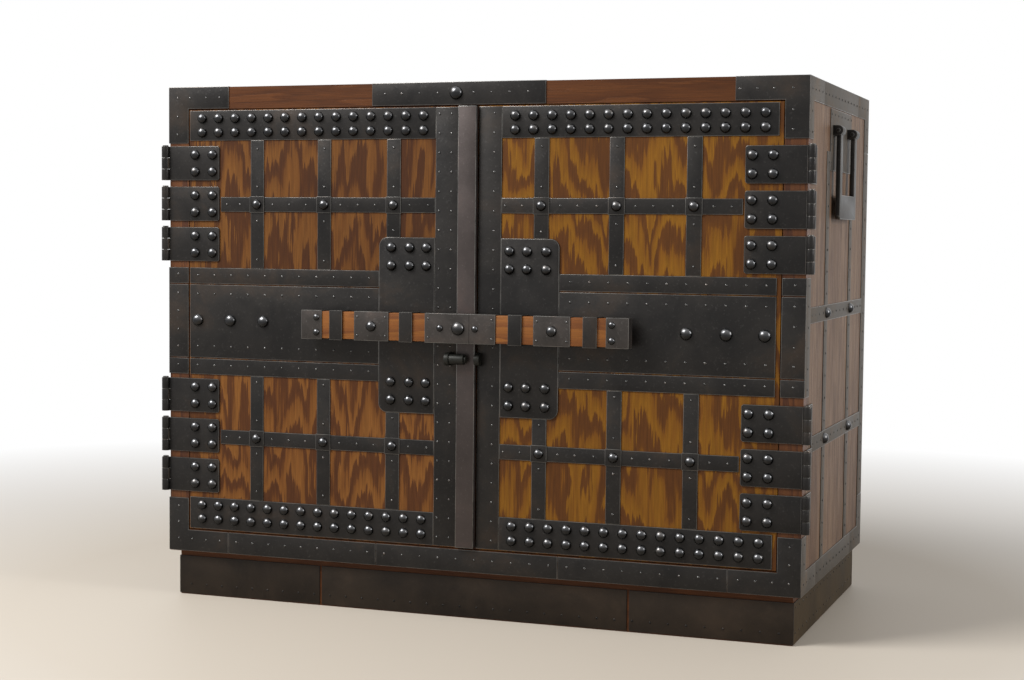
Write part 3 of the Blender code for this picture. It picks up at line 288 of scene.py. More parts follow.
# The scales of an iron are those of its clouds, its specks and its dents.
irons = {
    "sheetIron": dict(
        dark=(0.014, 0.013, 0.0125), mid=(0.021, 0.019, 0.0175), brown=(0.036, 0.027, 0.021),
        bright=(0.1, 0.095, 0.09), scales=(9, 260, 38), rubbed=0.22, metallic=0.55, specular=0.25,
        roughness=0.42, relief=0.35),
    # lighter iron on the softened edges: partly edge wear, partly a painted highlight along the edges
    "edgeWearAndSheen": dict(
        dark=(0.072, 0.068, 0.063), mid=(0.124, 0.118, 0.11), brown=(0.148, 0.122, 0.105),
        bright=(0.28, 0.27, 0.26), scales=(30, 300, 60), rubbed=0.4, metallic=0.85, specular=0.3,
        roughness=0.3, relief=0.2),
    # studSteel's under value darkens the heads where they face sideways or down: painted shade
    "studSteel": dict(
        dark=(0.1, 0.101, 0.104), mid=(0.132, 0.132, 0.135), brown=(0.15, 0.138, 0.128),
        bright=(0.26, 0.256, 0.25), scales=(60, 500, 120), rubbed=0.2, metallic=1.0, specular=0.5,
        roughness=0.27, relief=0.15, under=0.26),
    "tackSteel": dict(
        dark=(0.06, 0.059, 0.058), mid=(0.105, 0.102, 0.1), brown=(0.14, 0.115, 0.1),
        bright=(0.3, 0.29, 0.28), scales=(90, 600, 200), rubbed=0.3, metallic=0.95, specular=0.5,
        roughness=0.24, relief=0.1),
    # a darker copy of tackSteel: painted shade on tacks that face away from the light
    "shadedTack": dict(
        dark=(0.012, 0.011, 0.01), mid=(0.02, 0.018, 0.016), brown=(0.036, 0.026, 0.02),
        bright=(0.1, 0.09, 0.08), scales=(90, 600, 200), rubbed=0.2, metallic=0.7, specular=0.3,
        roughness=0.34, relief=0.1),
    "stripIron": dict(
        dark=(0.042, 0.034, 0.032), mid=(0.056, 0.045, 0.042), brown=(0.074, 0.054, 0.048),
        bright=(0.15, 0.14, 0.13), scales=(8, 240, 30), rubbed=0.25, metallic=0.6, specular=0.3,
        roughness=0.4, relief=0.25),
    "barIron": dict(
        dark=(0.036, 0.032, 0.029), mid=(0.052, 0.045, 0.041), brown=(0.072, 0.056, 0.048),
        bright=(0.17, 0.16, 0.15), scales=(14, 260, 40), rubbed=0.3, metallic=0.7, specular=0.3,
        roughness=0.38, relief=0.3),
    # a lighter, browner copy of sheetIron for the side faces: painted light
    "litSideIron": dict(
        dark=(0.052, 0.044, 0.036), mid=(0.074, 0.063, 0.052), brown=(0.11, 0.08, 0.057),
        bright=(0.17, 0.15, 0.13), scales=(16, 240, 34), rubbed=0.25, metallic=0.25, specular=0.15,
        roughness=0.56, relief=0.4),
    "plinthEndIron": dict(
        dark=(0.036, 0.026, 0.016), mid=(0.056, 0.04, 0.024), brown=(0.088, 0.058, 0.032),
        bright=(0.11, 0.09, 0.07), scales=(7, 220, 26), rubbed=0.15, metallic=0.1, specular=0.05,
        roughness=0.65, relief=0.5),
    "lockIron": dict(
        dark=(0.012, 0.012, 0.0105), mid=(0.018, 0.018, 0.0155), brown=(0.026, 0.023, 0.018),
        bright=(0.07, 0.065, 0.06), scales=(60, 400, 90), rubbed=0.15, metallic=0.4, specular=0.2,
        roughness=0.46, relief=0.3),
    "plinthIron": dict(
        dark=(0.014, 0.0105, 0.008), mid=(0.026, 0.0185, 0.013), brown=(0.046, 0.031, 0.021),
        bright=(0.07, 0.06, 0.05), scales=(6, 220, 26), rubbed=0.12, metallic=0.45, specular=0.22,
        roughness=0.44, relief=0.3)}
finishes.update({name: ironFinish(name, iron) for name, iron in irons.items()})
for finish in finishes.values():
    setOut(finish.node_tree)
print("finishes made:", ", ".join(finishes))

cadFinishes = {
    "leftDoorWood": ("left_door_board",), "rightDoorWood": ("right_door_board",),
    "stileWood": ("left_stile", "right_stile"), "sideWood": ("left_side_board", "right_side_board"),
    "railWood": ("top_rail", "bottom_rail", "plinth_frame", "top_board"),
    "innerWood": ("back_board", "bottom_board", "shelf")}
for finishName, nodeNames in cadFinishes.items():
    for nodeName in nodeNames:
        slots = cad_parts[nodeName].data.materials
        slots.clear()
        slots.append(finishes[finishName])


# Shapes

def at(x, y, z):
    return Vector((x, frontY + y, baseZ + z))


def onFront(x, z, out):
    return at(x, -out, z)


def onBack(x, z, out):
    return at(x, deep + out, z)


def onTop(x, y, out):
    return at(x, y, high + out)


def onSide(side):
    return lambda y, z, out: at(side * (half + out), y, z)


def acrossX(y, z, x):
    return at(x, y, z)


def alongY(x, z, y):
    return at(x, y, z)


def sided(side, outline):
    return [(side * u, v) for u, v in outline]


def spanOf(side, middle, width):
    return sorted((side * (middle - width / 2), side * (middle + width / 2)))


def rect(u0, u1, v0, v1):
    return [(u0, v0), (u1, v0), (u1, v1), (u0, v1)]


def ell(u0, u1, u2, v0, v1, v2):
    # One arm runs along v0 to u1, and the other along u0 to v2.
    return [(u0, v0), (u1, v0), (u1, v1), (u2, v1), (u2, v2), (u0, v2)]


def ring(u, v, radius, count, start=0.0, end=360.0):
    full = abs(end - start) >= 360
    steps = count if full else count - 1
    turns = [math.radians(start + (end - start) * i / steps) for i in range(count)]
    return [(u + radius * math.cos(t), v + radius * math.sin(t)) for t in turns]


def spread(first, last, pitch):
    count = max(1, round(abs(last - first) / pitch))
    return [first + (last - first) * i / count for i in range(count + 1)]


def addSlab(bm, outline, place, low, top, soften=0.0008, edges="outer"):
    # A flat outline given a thickness. Its softened edges take the second finish.
    lower = [bm.verts.new(place(u, v, low)) for u, v in outline]
    upper = [bm.verts.new(place(u, v, top)) for u, v in outline]
    count = len(outline)
    faces = [bm.faces.new(lower), bm.faces.new(upper)]
    for i in range(count):
        j = (i + 1) % count
        faces.append(bm.faces.new((lower[i], lower[j], upper[j], upper[i])))
    bmesh.ops.recalc_face_normals(bm, faces=faces)
    under, over = set(faces[0].edges), set(faces[1].edges)
    upright = {edge for face in faces for edge in face.edges} - under - over
    chosen = {"outer": over | upright, "inner": under | upright, "ends": under | over,
              "all": under | over | upright}[edges]
    if soften:
        bmesh.ops.bevel(bm, geom=list(chosen), offset=soften, segments=2, profile=0.6, affect="EDGES",
                        clamp_overlap=True, material=1)


def addBarrel(bm, place, u, v, radius, low, top, soften=0.0005, count=28):
    addSlab(bm, ring(u, v, radius, count), place, low, top, soften, "ends")


def addObject(name, data):
    made = bpy.data.objects.new(name, data)
    scene.collection.objects.link(made)
    return made


def finishPiece(name, bm, body, *replaced, finishNames=("sheetIron", "edgeWearAndSheen"), slotName="iron"):
    if finishNames[0] == "sheetIron" and body == "carcase":
        finishNames = (*finishNames, "litSideIron")  # painted light: faces on the sides of the chest take a lighter, browner copy of the iron, whose lightness stands in for the grazing light on the sides
        for face in bm.faces:
            if abs(face.normal.x) > 0.9 and face.material_index == 0:
                face.material_index = 2
    mesh = bpy.data.meshes.new(name)
    bm.to_mesh(mesh)
    bm.free()
    for finishName in finishNames:
        mesh.materials.append(finishes[finishName])
    mesh.shade_smooth()
    mesh.set_sharp_from_angle(angle=math.radians(32))
    piece = addObject(name, mesh)
    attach(piece, body)
    if replaced:
        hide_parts(*replaced)


# Studs and tacks, by Geometry Nodes

def makeHeadTree():
    # Sets a low dome on every point of the mesh, each a little off from its neighbours.
    tree = bpy.data.node_groups.new("nailHeads", "GeometryNodeTree")
    kinds = {"Geometry": "Geometry", "Diameter": "Float", "Height": "Float", "Foot": "Float",
             "Segments": "Int", "Rings": "Int", "Facing": "Vector", "Tilt": "Float", "Uneven": "Float",
             "Seed": "Int", "Finish": "Material"}
    for label, kind in kinds.items():
        tree.interface.new_socket(label, in_out="INPUT", socket_type="NodeSocket" + kind)
    tree.interface.new_socket("Geometry", in_out="OUTPUT", socket_type="NodeSocketGeometry")
    given = addNode(tree, "NodeGroupInput").outputs

    counts = {name: given[name] for name in ("Segments", "Rings")}
    ball = addNode(tree, "GeometryNodeMeshUVSphere", {**counts, "Radius": 1.0})
    x, y, z = splitVector(tree, addNode(tree, "GeometryNodeInputPosition").outputs[0])
    radius = addMath(tree, "MULTIPLY", given["Diameter"], 0.5)
    level = addMath(tree, "MAXIMUM", z, addMath(tree, "MULTIPLY", given["Foot"], -1.0))
    products = ((x, radius), (y, radius), (level, given["Height"]))
    built = {i: addMath(tree, "MULTIPLY", a, b) for i, (a, b) in enumerate(products)}
    built = addNode(tree, "ShaderNodeCombineXYZ", built).outputs[0]
    shaped = addNode(tree, "GeometryNodeSetPosition", {"Geometry": ball.outputs["Mesh"], "Position": built})
    smooth = addNode(tree, "GeometryNodeSetShadeSmooth", {0: shaped.outputs[0]})

    tilts = {"Seed": given["Seed"], 0: addMath(tree, "MULTIPLY", given["Tilt"], -1.0), 1: given["Tilt"]}
    tilt = addNode(tree, "FunctionNodeRandomValue", tilts, data_type="FLOAT_VECTOR")
    sizes = {"Seed": given["Seed"], 2: addMath(tree, "SUBTRACT", 1.0, given["Uneven"]), 3: 1.0}
    size = addNode(tree, "FunctionNodeRandomValue", sizes, data_type="FLOAT")
    placed = addNode(tree, "GeometryNodeInstanceOnPoints", {
        "Points": given["Geometry"], "Instance": smooth.outputs[0], "Scale": size.outputs[1],
        "Rotation": addVector(tree, "ADD", {0: given["Facing"], 1: tilt.outputs[0]})})
    real = addNode(tree, "GeometryNodeRealizeInstances", {0: placed.outputs[0]})
    painted = addNode(tree, "GeometryNodeSetMaterial", {0: real.outputs[0], "Material": given["Finish"]})
    addNode(tree, "NodeGroupOutput", {0: painted.outputs[0]})
    setOut(tree)
    return tree


headTree = makeHeadTree()
headSockets = {item.name: item.identifier for item in headTree.interface.items_tree if item.in_out == "INPUT"}
quarter = math.radians(90)
facings = {
    "front": (quarter, 0, 0), "back": (-quarter, 0, 0), "left": (0, -quarter, 0), "right": (0, quarter, 0),
    "top": (0, 0, 0)}


def setHeads(name, places, facing, heads, body):
    mesh = bpy.data.meshes.new(name + "Points")
    mesh.from_pydata(places, [], [])
    source = addObject(name + "Points", mesh)
    modifier = source.modifiers.new("heads", "NODES")
    modifier.node_group = headTree
    for label, value in dict(heads, Facing=facings[facing], Finish=finishes[heads["Finish"]]).items():
        modifier[headSockets[label]] = value
    source.update_tag()
    graph = bpy.context.evaluated_depsgraph_get()
    made = bpy.data.meshes.new_from_object(source.evaluated_get(graph), depsgraph=graph)
    bpy.data.objects.remove(source)
    made.name = name
    piece = addObject(name, made)
    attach(piece, body)


domeHeads = dict(
    Diameter=0.0184, Height=0.0082, Foot=0.12, Segments=22, Rings=14, Tilt=0.05, Uneven=0.04, Seed=3,
    Finish="studSteel")
knobHeads = dict(domeHeads, Diameter=0.0215, Height=0.0085, Seed=5)
smallHeads = dict(domeHeads, Diameter=0.012, Height=0.0048, Seed=7)
largeHeads = dict(domeHeads, Diameter=0.0235, Height=0.0089, Seed=9, Tilt=0.0)
tackHeads = dict(
    Diameter=0.0045, Height=0.0013, Foot=0.3, Segments=10, Rings=6, Tilt=0.16, Uneven=0.15, Seed=11,
    Finish="tackSteel")
shadedHeads = dict(tackHeads, Height=0.0009, Finish="shadedTack")  # painted shade: a darker copy of the tacks for the sides, top, back and plinth, standing in for their unlit faces
tacks = {}  # body and face to the places of their tacks, set at the end


def addTacks(body, facing, place, spots, out):
    tacks.setdefault((body, facing), []).extend(place(u, v, out) for u, v in spots)


# Plinth irons: three plates along the front and one on each end
plinth = dict(
    recess=0.0145, endRecess=0.0135, low=-0.079, high=-0.011, thick=0.0015, soften=0.0006, lap=0.00005,
    seams=(-0.279, 0.284), seamWidth=0.0042, overlap=0.0016, rearShort=0.0015, tackRise=-0.062,
    endTackDrop=0.009, tackPitch=0.0305, tackInset=0.024, endTackInsets=(0.012, 0.014))
p = plinth
edge = half - p["endRecess"] + seat + p["thick"]
faceOut = seat + p["thick"]
cuts = [-edge, *[x + s * p["seamWidth"] / 2 for x in p["seams"] for s in (-1, 1)], edge]
bm = bmesh.new()
for u0, u1 in zip(cuts[::2], cuts[1::2]):
    outline = rect(u0, u1, p["low"], p["high"])
    addSlab(bm, outline, onFront, seat - p["recess"], faceOut - p["recess"], p["soften"])
finishPiece("plinthFrontIrons", bm, "carcase", "plinth_iron", finishNames=("plinthIron", "sheetIron"))
bm = bmesh.new()
for sideName, side in sides.items():
    outline = rect(p["recess"] - p["overlap"], deep - p["rearShort"], p["low"], p["high"])
    addSlab(bm, outline, onSide(side), seat - p["endRecess"], faceOut + p["lap"] - p["endRecess"],
            p["soften"])
    rowY = spread(p["recess"] + p["endTackInsets"][0], deep - p["endTackInsets"][1], p["tackPitch"])
    spots = [(y, z) for z in (p["tackRise"], p["high"] - p["endTackDrop"]) for y in rowY]
    addTacks("carcase", sideName, onSide(side), spots, faceOut - p["endRecess"])
finishPiece("plinthEndIrons", bm, "carcase", finishNames=("plinthEndIron", "sheetIron"))
spots = [(x, p["tackRise"]) for x in spread(-edge + p["tackInset"], edge - p["tackInset"], p["tackPitch"])]
addTacks("carcase_plinth", "front", onFront, spots, faceOut - p["recess"])
print("plinth irons made")


# Corner irons, bands and edge irons of the carcase, folded over its edges
corner = dict(
    thick=0.0015, reach=0.1182, band=0.0377, arm=0.0343, topArm=0.7308, baseLow=0.0008, baseHigh=0.039,
    baseArm=0.0965, rearBand=0.0407, backReach=0.0597, backBand=0.0297, seam=0.0006, lap=0.0002)
cornerTacks = {  # a row along the band and a column down the post, by side
    "left": ((0.557, 0.532, 0.5, 0.473), 0.811, 0.557, (0.778, 0.746)),
    "right": ((0.462, 0.49, 0.517, 0.547), 0.81, 0.548, (0.776, 0.745))}
c = corner
fold = 0.00006  # keeps the two faces of a fold from lying in one plane
skin = seat + c["thick"]
outside = skin - 0.0011  # lid and back irons are thinner, with room for their tack heads
outer, start = half + skin - fold, -skin + fold
topZ, bandLow = high + outside - fold, high - c["band"]
near, rear, rearEdge = c["reach"], deep - c["reach"], deep + outside
far, post, back = half - c["reach"], half - c["band"], deep - c["rearBand"]
backFar, backPost = half - c["backReach"], half - c["backBand"]
armSpan = (c["baseArm"] + c["seam"], c["topArm"] - c["seam"])
middleSpans = [(doorMiddle + low, doorMiddle + top)  # a wide plate between two bands
               for low, top in ((-0.095, -0.067), (-0.065, 0.065), (0.067, 0.095))]
for sideName, side in sides.items():
    bm = bmesh.new()
    flank = onSide(side)

    def face(outline, place, top=skin):
        addSlab(bm, outline if place is flank else sided(side, outline), place, seat, top)

    for levels in ((topZ, bandLow, c["topArm"]), (c["baseLow"], c["baseHigh"], c["baseArm"])):
        face(ell(outer, far, post, *levels), onFront)
        face(ell(start, near, c["arm"], *levels), flank)
        face(rect(near + c["seam"], rear - c["seam"], *levels[1::-1]), flank, skin - c["lap"])
        face(ell(rearEdge, rear, back, *levels), flank)
        face(ell(outer, backFar, backPost, *levels), onBack, outside)
    face(rect(back, rearEdge, *armSpan), flank, skin - c["lap"])
    face(rect(backPost, outer - c["lap"], *armSpan), onBack, outside - c["lap"] / 2)
    face(ell(outer, far, post, start, c["band"], near), onTop, outside)
    face(rect(post, outer, near + c["seam"], rear - c["seam"]), onTop, outside - c["lap"] / 2)
    face(ell(outer, backFar, post, rearEdge - fold, deep - c["band"], rear), onTop, outside)
    finishPiece(sideName + "CornerIrons", bm, "carcase", sideName + "_frame_irons")

    bm = bmesh.new()
    for span in middleSpans:
        face(rect(post, outer, *span), onFront)
    face(rect(start, c["arm"], middleSpans[0][0], middleSpans[2][1]), flank)
    finishPiece(sideName + "StileIrons", bm, "carcase", sideName + "_stile_iron")

    # Tacks of these irons
    rowX, rowZ, postX, postZ = cornerTacks[sideName]
    spots = [(x, rowZ) for x in rowX] + [(postX, z) for z in postZ]
    spots += [(0.555, z) for z in (0.0525, 0.0225, 0.0815)] + [(x, 0.0225) for x in (0.472, 0.5, 0.528)]
    spots += [(0.556, z) for z in (0.499, 0.465, 0.433, 0.4, 0.37, 0.337)]
    addTacks("carcase", "front", onFront, sided(side, spots), skin)
    ends = (0.018, 0.045, 0.073, 0.103)
    rowY = (*ends, *spread(0.132, deep - 0.132, 0.03), *(deep - y for y in reversed(ends)))
    spots = [(y, z) for y in rowY for z in (0.8105, 0.0195)]
    spots += [(deep - 0.019, z) for z in (0.775, 0.745, *spread(0.712, 0.125, 0.035), 0.083, 0.052)]
    spots += [(0.02, 0.775), (0.022, 0.742), (0.02, 0.052), (0.021, 0.083)]
    spots += [(0.018, doorMiddle + z) for z in spread(-0.083, 0.083, 0.034)]
    addTacks("carcase", sideName, flank, spots, skin)
    spots = [(half - 0.018, y) for y in spread(0.018, deep - 0.018, 0.034)]
    spots += [(x, 0.018) for x in (0.472, 0.502)]
    addTacks("carcase", "top", onTop, sided(side, spots), outside)
    spots = [(half - 0.014, z) for z in spread(0.02, 0.812, 0.036)]
    addTacks("carcase", "back", onBack, sided(side, spots), outside)
print("corner and edge irons made")


# Plates along the rails
rails = dict(
    topPlate=(-0.178, 0.136), topKnob=(-0.0235, 0.8115), topTackRow=0.812, lidTackRow=0.019,
    topTacks=(-0.154, -0.123, -0.09, -0.057, 0.008, 0.04, 0.072, 0.105), baseTackRow=0.0225, seamHalf=0.0004,
    baseSeams=(-0.4545, -0.167, 0.165, 0.4545), baseTackInset=0.016, baseTackPitch=0.032)
r = rails
bm = bmesh.new()
addSlab(bm, rect(*r["topPlate"], bandLow, topZ), onFront, seat, skin)
addSlab(bm, rect(*r["topPlate"], start, c["band"]), onTop, seat, outside)
finishPiece("topRailPlate", bm, "carcase", "top_rail_plate")
addTacks("carcase", "front", onFront, [(x, r["topTackRow"]) for x in r["topTacks"]], skin)
addTacks("carcase", "top", onTop, [(x, r["lidTackRow"]) for x in r["topTacks"]], outside)
setHeads("topRailKnob", [onFront(*r["topKnob"], skin)], "front", largeHeads, "carcase")
bm = bmesh.new()
for u0, u1 in zip(r["baseSeams"], r["baseSeams"][1:]):
    outline = rect(u0 + r["seamHalf"], u1 - r["seamHalf"], c["baseLow"], c["baseHigh"])
    addSlab(bm, outline, onFront, seat, skin)
    rowX = spread(u0 + r["baseTackInset"], u1 - r["baseTackInset"], r["baseTackPitch"])
    addTacks("carcase", "front", onFront, [(x, r["baseTackRow"]) for x in rowX], skin)
finishPiece("baseRailPlates", bm, "carcase", "base_rail_plate")
print("rail plates made")


# Crossed straps on the carcase sides
straps = dict(
    width=0.026, uprights=(0.1715, 0.3955), bands=(0.24, 0.45), starts=(0.0626, 0.0346), top=0.718,
    thick=0.0013, clear=0.026, tackPitch=0.036, bandTackPitch=0.034)
s = straps
w = s["width"] / 2
first, second = s["uprights"]
for sideName, side in sides.items():
    flank = onSide(side)
    bm = bmesh.new()
    spots = []
    for y in s["uprights"]:
        addSlab(bm, rect(y - w, y + w, c["baseHigh"] + hair, s["top"]), flank, seat, seat + s["thick"])
        for run in ((0.06, 0.21), (0.27, 0.42), (0.482, 0.7)):
            spots += [(y, z) for z in spread(*run, s["tackPitch"])]
    for z, begin in zip(s["bands"], s["starts"]):
        addSlab(bm, rect(begin, back - hair, z - w, z + w), flank, seat, skin)
        for run in ((begin + 0.012, first - s["clear"]), (first + s["clear"], second - s["clear"]),
                    (second + s["clear"], back - 0.014)):
            spots += [(y, z) for y in spread(*run, s["bandTackPitch"])]
    finishPiece(sideName + "SideStraps", bm, "carcase", sideName + "_side_straps")
    addTacks("carcase", sideName, flank, spots, skin)
    domes = [flank(y, z, skin) for y in s["uprights"] for z in s["bands"]]
    setHeads(sideName + "SideDomes", domes, sideName, domeHeads, "carcase")
print("side straps made")


# Door irons: stud strips, edge plate, straps, bands, middle plate and lock plate
doorIrons = dict(
    inner=0.0186, edge=0.0595, topStrip=0.0525, baseStrip=0.0565, strap=0.0255, crossings=(0.21, 0.623),
    crossEnd=0.47, lock=(0.0598, 0.1628), lockRound=0.015, lockLevels=(0.2682, 0.5682), lockOut=0.0028,
    lockDomes=(0.075, 0.106, 0.14), cap=0.0285, capThick=0.0015, capSink=0.0008, domeCount=14,
    knobRise=0.002)
doorSides = {
    "left": dict(
        outer=0.532, uprights=(0.137, 0.268, 0.398), domeEnds=(0.0822, 0.5072),
        domeRows=(0.061, 0.086, 0.7495, 0.7745), knobs=(0.386, 0.451, 0.516),
        lockRows=(0.29, 0.321, 0.52, 0.551), edgeTacks=(0.031, 0.053),
        crossTacks=(0.073, 0.107, 0.172, 0.204, 0.237, 0.303, 0.335, 0.368, 0.432, 0.458)),
    "right": dict(
        outer=0.5265, uprights=(0.13, 0.26, 0.39), domeEnds=(0.0825, 0.5045),
        domeRows=(0.06, 0.085, 0.749, 0.7725), knobs=(0.38, 0.446, 0.509),
        lockRows=(0.288, 0.319, 0.517, 0.547), edgeTacks=(0.046,),
        crossTacks=(0.066, 0.096, 0.163, 0.193, 0.226, 0.292, 0.322, 0.355, 0.422, 0.452))}
for sideName, side in sides.items():
    d = {**doorIrons, **doorSides[sideName]}
    body = sideName + "_door"

    def plate(outline, top=skin, low=seat, soften=0.0008):
        addSlab(bm, sided(side, outline), onFront, low, top, soften)

    bm = bmesh.new()
    topStrip, baseStrip = doorHigh - d["topStrip"], doorLow + d["baseStrip"]
    (lockNear, lockFar), lockLevels = d["lock"], d["lockLevels"]
    pastEdge, pastLock = d["edge"] + hair, lockFar + hair
    plate(rect(pastEdge, d["outer"], topStrip, doorHigh))
    plate(rect(pastEdge, d["outer"], doorLow, baseStrip))
    plate(rect(d["inner"], d["edge"], doorLow, doorHigh))
    w = d["strap"] / 2
    bandLevels = (middleSpans[0][0], middleSpans[2][1])
    for x, (low, top) in zip(d["uprights"], (lockLevels, bandLevels, bandLevels)):
        plate(rect(x - w, x + w, baseStrip + hair, low - hair), skin - hair)
        plate(rect(x - w, x + w, top + hair, topStrip - hair), skin - hair)
    for z in d["crossings"]:
        plate(rect(pastEdge, d["crossEnd"], z - w, z + w))
    for span in middleSpans[::2]:
        plate(rect(pastLock, d["outer"], *span))
    w = d["cap"] / 2
    crossings = [(x, z) for x in d["uprights"] for z in d["crossings"]]
    for x, z in crossings:
        plate(rect(x - w, x + w, z - w, z + w), skin + d["capThick"], seat + d["capSink"])
    finishPiece(sideName + "DoorStraps", bm, body, sideName + "_door_straps")

    bm = bmesh.new()
    plate(rect(pastLock, d["outer"], *middleSpans[1]))
    finishPiece(sideName + "MiddlePlate", bm, body, sideName + "_middle_plate")
    bm = bmesh.new()
    r = d["lockRound"]
    low, top = lockLevels
    rounded = [*ring(lockFar - r, low + r, r, 9, -90, 0), *ring(lockFar - r, top - r, r, 9, 0, 90)]
    plate([(lockNear, low), *rounded, (lockNear, top)], d["lockOut"], soften=0.001)
    finishPiece(sideName + "LockPlate", bm, body, sideName + "_lock_plate")

    # Studs in rows, on the caps and on the lock plate, and the knobs of the middle plate
    first, last = d["domeEnds"]
    columns = [first + (last - first) * i / (d["domeCount"] - 1) for i in range(d["domeCount"])]
    domes = [onFront(side * x, z, skin) for x in columns for z in d["domeRows"]]
    domes += [onFront(side * x, z, skin + d["capThick"]) for x, z in crossings]
    domes += [onFront(side * x, z, d["lockOut"]) for x in d["lockDomes"] for z in d["lockRows"]]
    setHeads(sideName + "DoorDomes", domes, "front", dict(domeHeads, Seed=20 + side), body)
    knobs = [onFront(side * x, doorMiddle + d["knobRise"], skin) for x in d["knobs"]]
    setHeads(sideName + "DoorKnobs", knobs, "front", knobHeads, body)

    # Tacks
    spots = [(x, z) for x in d["edgeTacks"] for z in spread(0.777, 0.058, 0.0325)]
    strapRows = (0.72, 0.654, 0.594, 0.526, 0.31, 0.242, 0.183, 0.116)
    spots += [(x, z) for x in d["uprights"][1:] for z in strapRows]
    spots += [(d["uprights"][0], z) for z in (0.721, 0.654, 0.58, 0.258, 0.184, 0.116)]
    spots += [(x, z) for x in d["crossTacks"] for z in d["crossings"]]
    bandRows = (0.4976, 0.4642, 0.371, 0.337)
    spots += [(x, z) for x in spread(0.182, d["outer"] - 0.016, 0.0325) for z in bandRows]
    addTacks(body, "front", onFront, sided(side, spots), skin)
print("door irons made")


# Strip that covers the joint of the doors
strip = dict(half=0.0165, out=0.0093, chamfer=0.0012)
bm = bmesh.new()
outline = rect(-strip["half"], strip["half"], doorLow, leafTop)
addSlab(bm, outline, onFront, seat, strip["out"], strip["chamfer"])
finishPiece("meetingStrip", bm, "left_door", "meeting_strip", finishNames=("stripIron", "edgeWearAndSheen"))


# Strap hinges, with turned knuckles and a headed pin
hinge = dict(
    count=6, height=0.06, reach=0.1, thick=0.0025, axis=0.007, knuckle=0.0069, forward=0.004, gap=0.0006,
    round=0.0042, leafEnd=0.0622, pin=0.0033, pinHead=0.0052, pinHeadHigh=0.0022, soften=0.0009,
    knuckleSoften=0.0004, short=0.0002, inside=0.0001, pinPast=0.001, domeRise=0.015, tackRise=0.018,
    tackPlaces=(0.026, 0.052),
    domePlaces={"left": (0.0131, 0.0348), "right": (0.0115, 0.0335)})  # inset and pitch
h = hinge
hingeX, hingeY = half + seat + h["axis"], -h["forward"]
end, r, third, gap = half - h["reach"], h["round"], h["height"] / 3, h["gap"] / 2
root, rootBack = hingeX - h["knuckle"] - h["gap"], hingeY + h["knuckle"]
faceOut = seat + h["thick"]
for sideName, side in sides.items():
    def barrel(radius, low, top, soften):
        addBarrel(bm, at, side * hingeX, hingeY, radius, low, top, soften)

    flank = onSide(side)
    domes = []
    for number in range(1, h["count"] + 1):
        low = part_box("%s_hinge_strap_%d" % (sideName, number))[0].z - baseZ
        top = low + h["height"]
        bm = bmesh.new()
        outline = [(root, low), (root, top), *ring(end + r, top - r, r, 6, 90, 180),
                   *ring(end + r, low + r, r, 6, 180, 270)]
        addSlab(bm, sided(side, outline), onFront, seat, faceOut, h["soften"])
        for z0, z1 in ((low, low + third - gap), (low + 2 * third + gap, top)):
            tongue = rect(root - h["thick"], hingeX, z0 + h["short"], z1 - h["short"])
            addSlab(bm, sided(side, tongue), onFront, seat + h["inside"], faceOut - h["inside"], 0)
            barrel(h["knuckle"], z0, z1, h["knuckleSoften"])
        finishPiece("%sHingeStrap%d" % (sideName, number), bm, sideName + "_door",
                    "%s_hinge_strap_%d" % (sideName, number))

        bm = bmesh.new()
        addSlab(bm, rect(rootBack + h["gap"], h["leafEnd"], low, top), flank, seat, faceOut, h["soften"])
        z0, z1 = low + third + gap, low + 2 * third - gap
        web = [(half + seat, hingeY), (hingeX, hingeY), (hingeX, hingeY + h["knuckle"] * 0.9),
               (half + faceOut, rootBack + 0.003), (half + seat, rootBack + 0.003)]
        addSlab(bm, sided(side, web), at, z0, z1, 0)
        barrel(h["knuckle"], z0, z1, h["knuckleSoften"])
        barrel(h["pinHead"], top + hair, top + h["pinHeadHigh"], 0.0008)
        barrel(h["pin"], low + h["short"], top + h["pinPast"], 0)
        finishPiece("%sHingeLeaf%d" % (sideName, number), bm, "carcase",
                    "%s_hinge_leaf_%d" % (sideName, number))
        middle = low + h["height"] / 2
        inset, pitch = h["domePlaces"][sideName]
        domes += [onFront(side * (end + inset + i * pitch), middle + s * h["domeRise"], faceOut)
                  for i in (0, 1) for s in (-1, 1)]
        spots = [(y, middle + s * h["tackRise"]) for y in h["tackPlaces"] for s in (-1, 1)]
        addTacks("carcase", sideName, flank, spots, faceOut)
    setHeads(sideName + "HingeDomes", domes, "front", dict(domeHeads, Seed=30 + side), sideName + "_door")
print("hinges made")


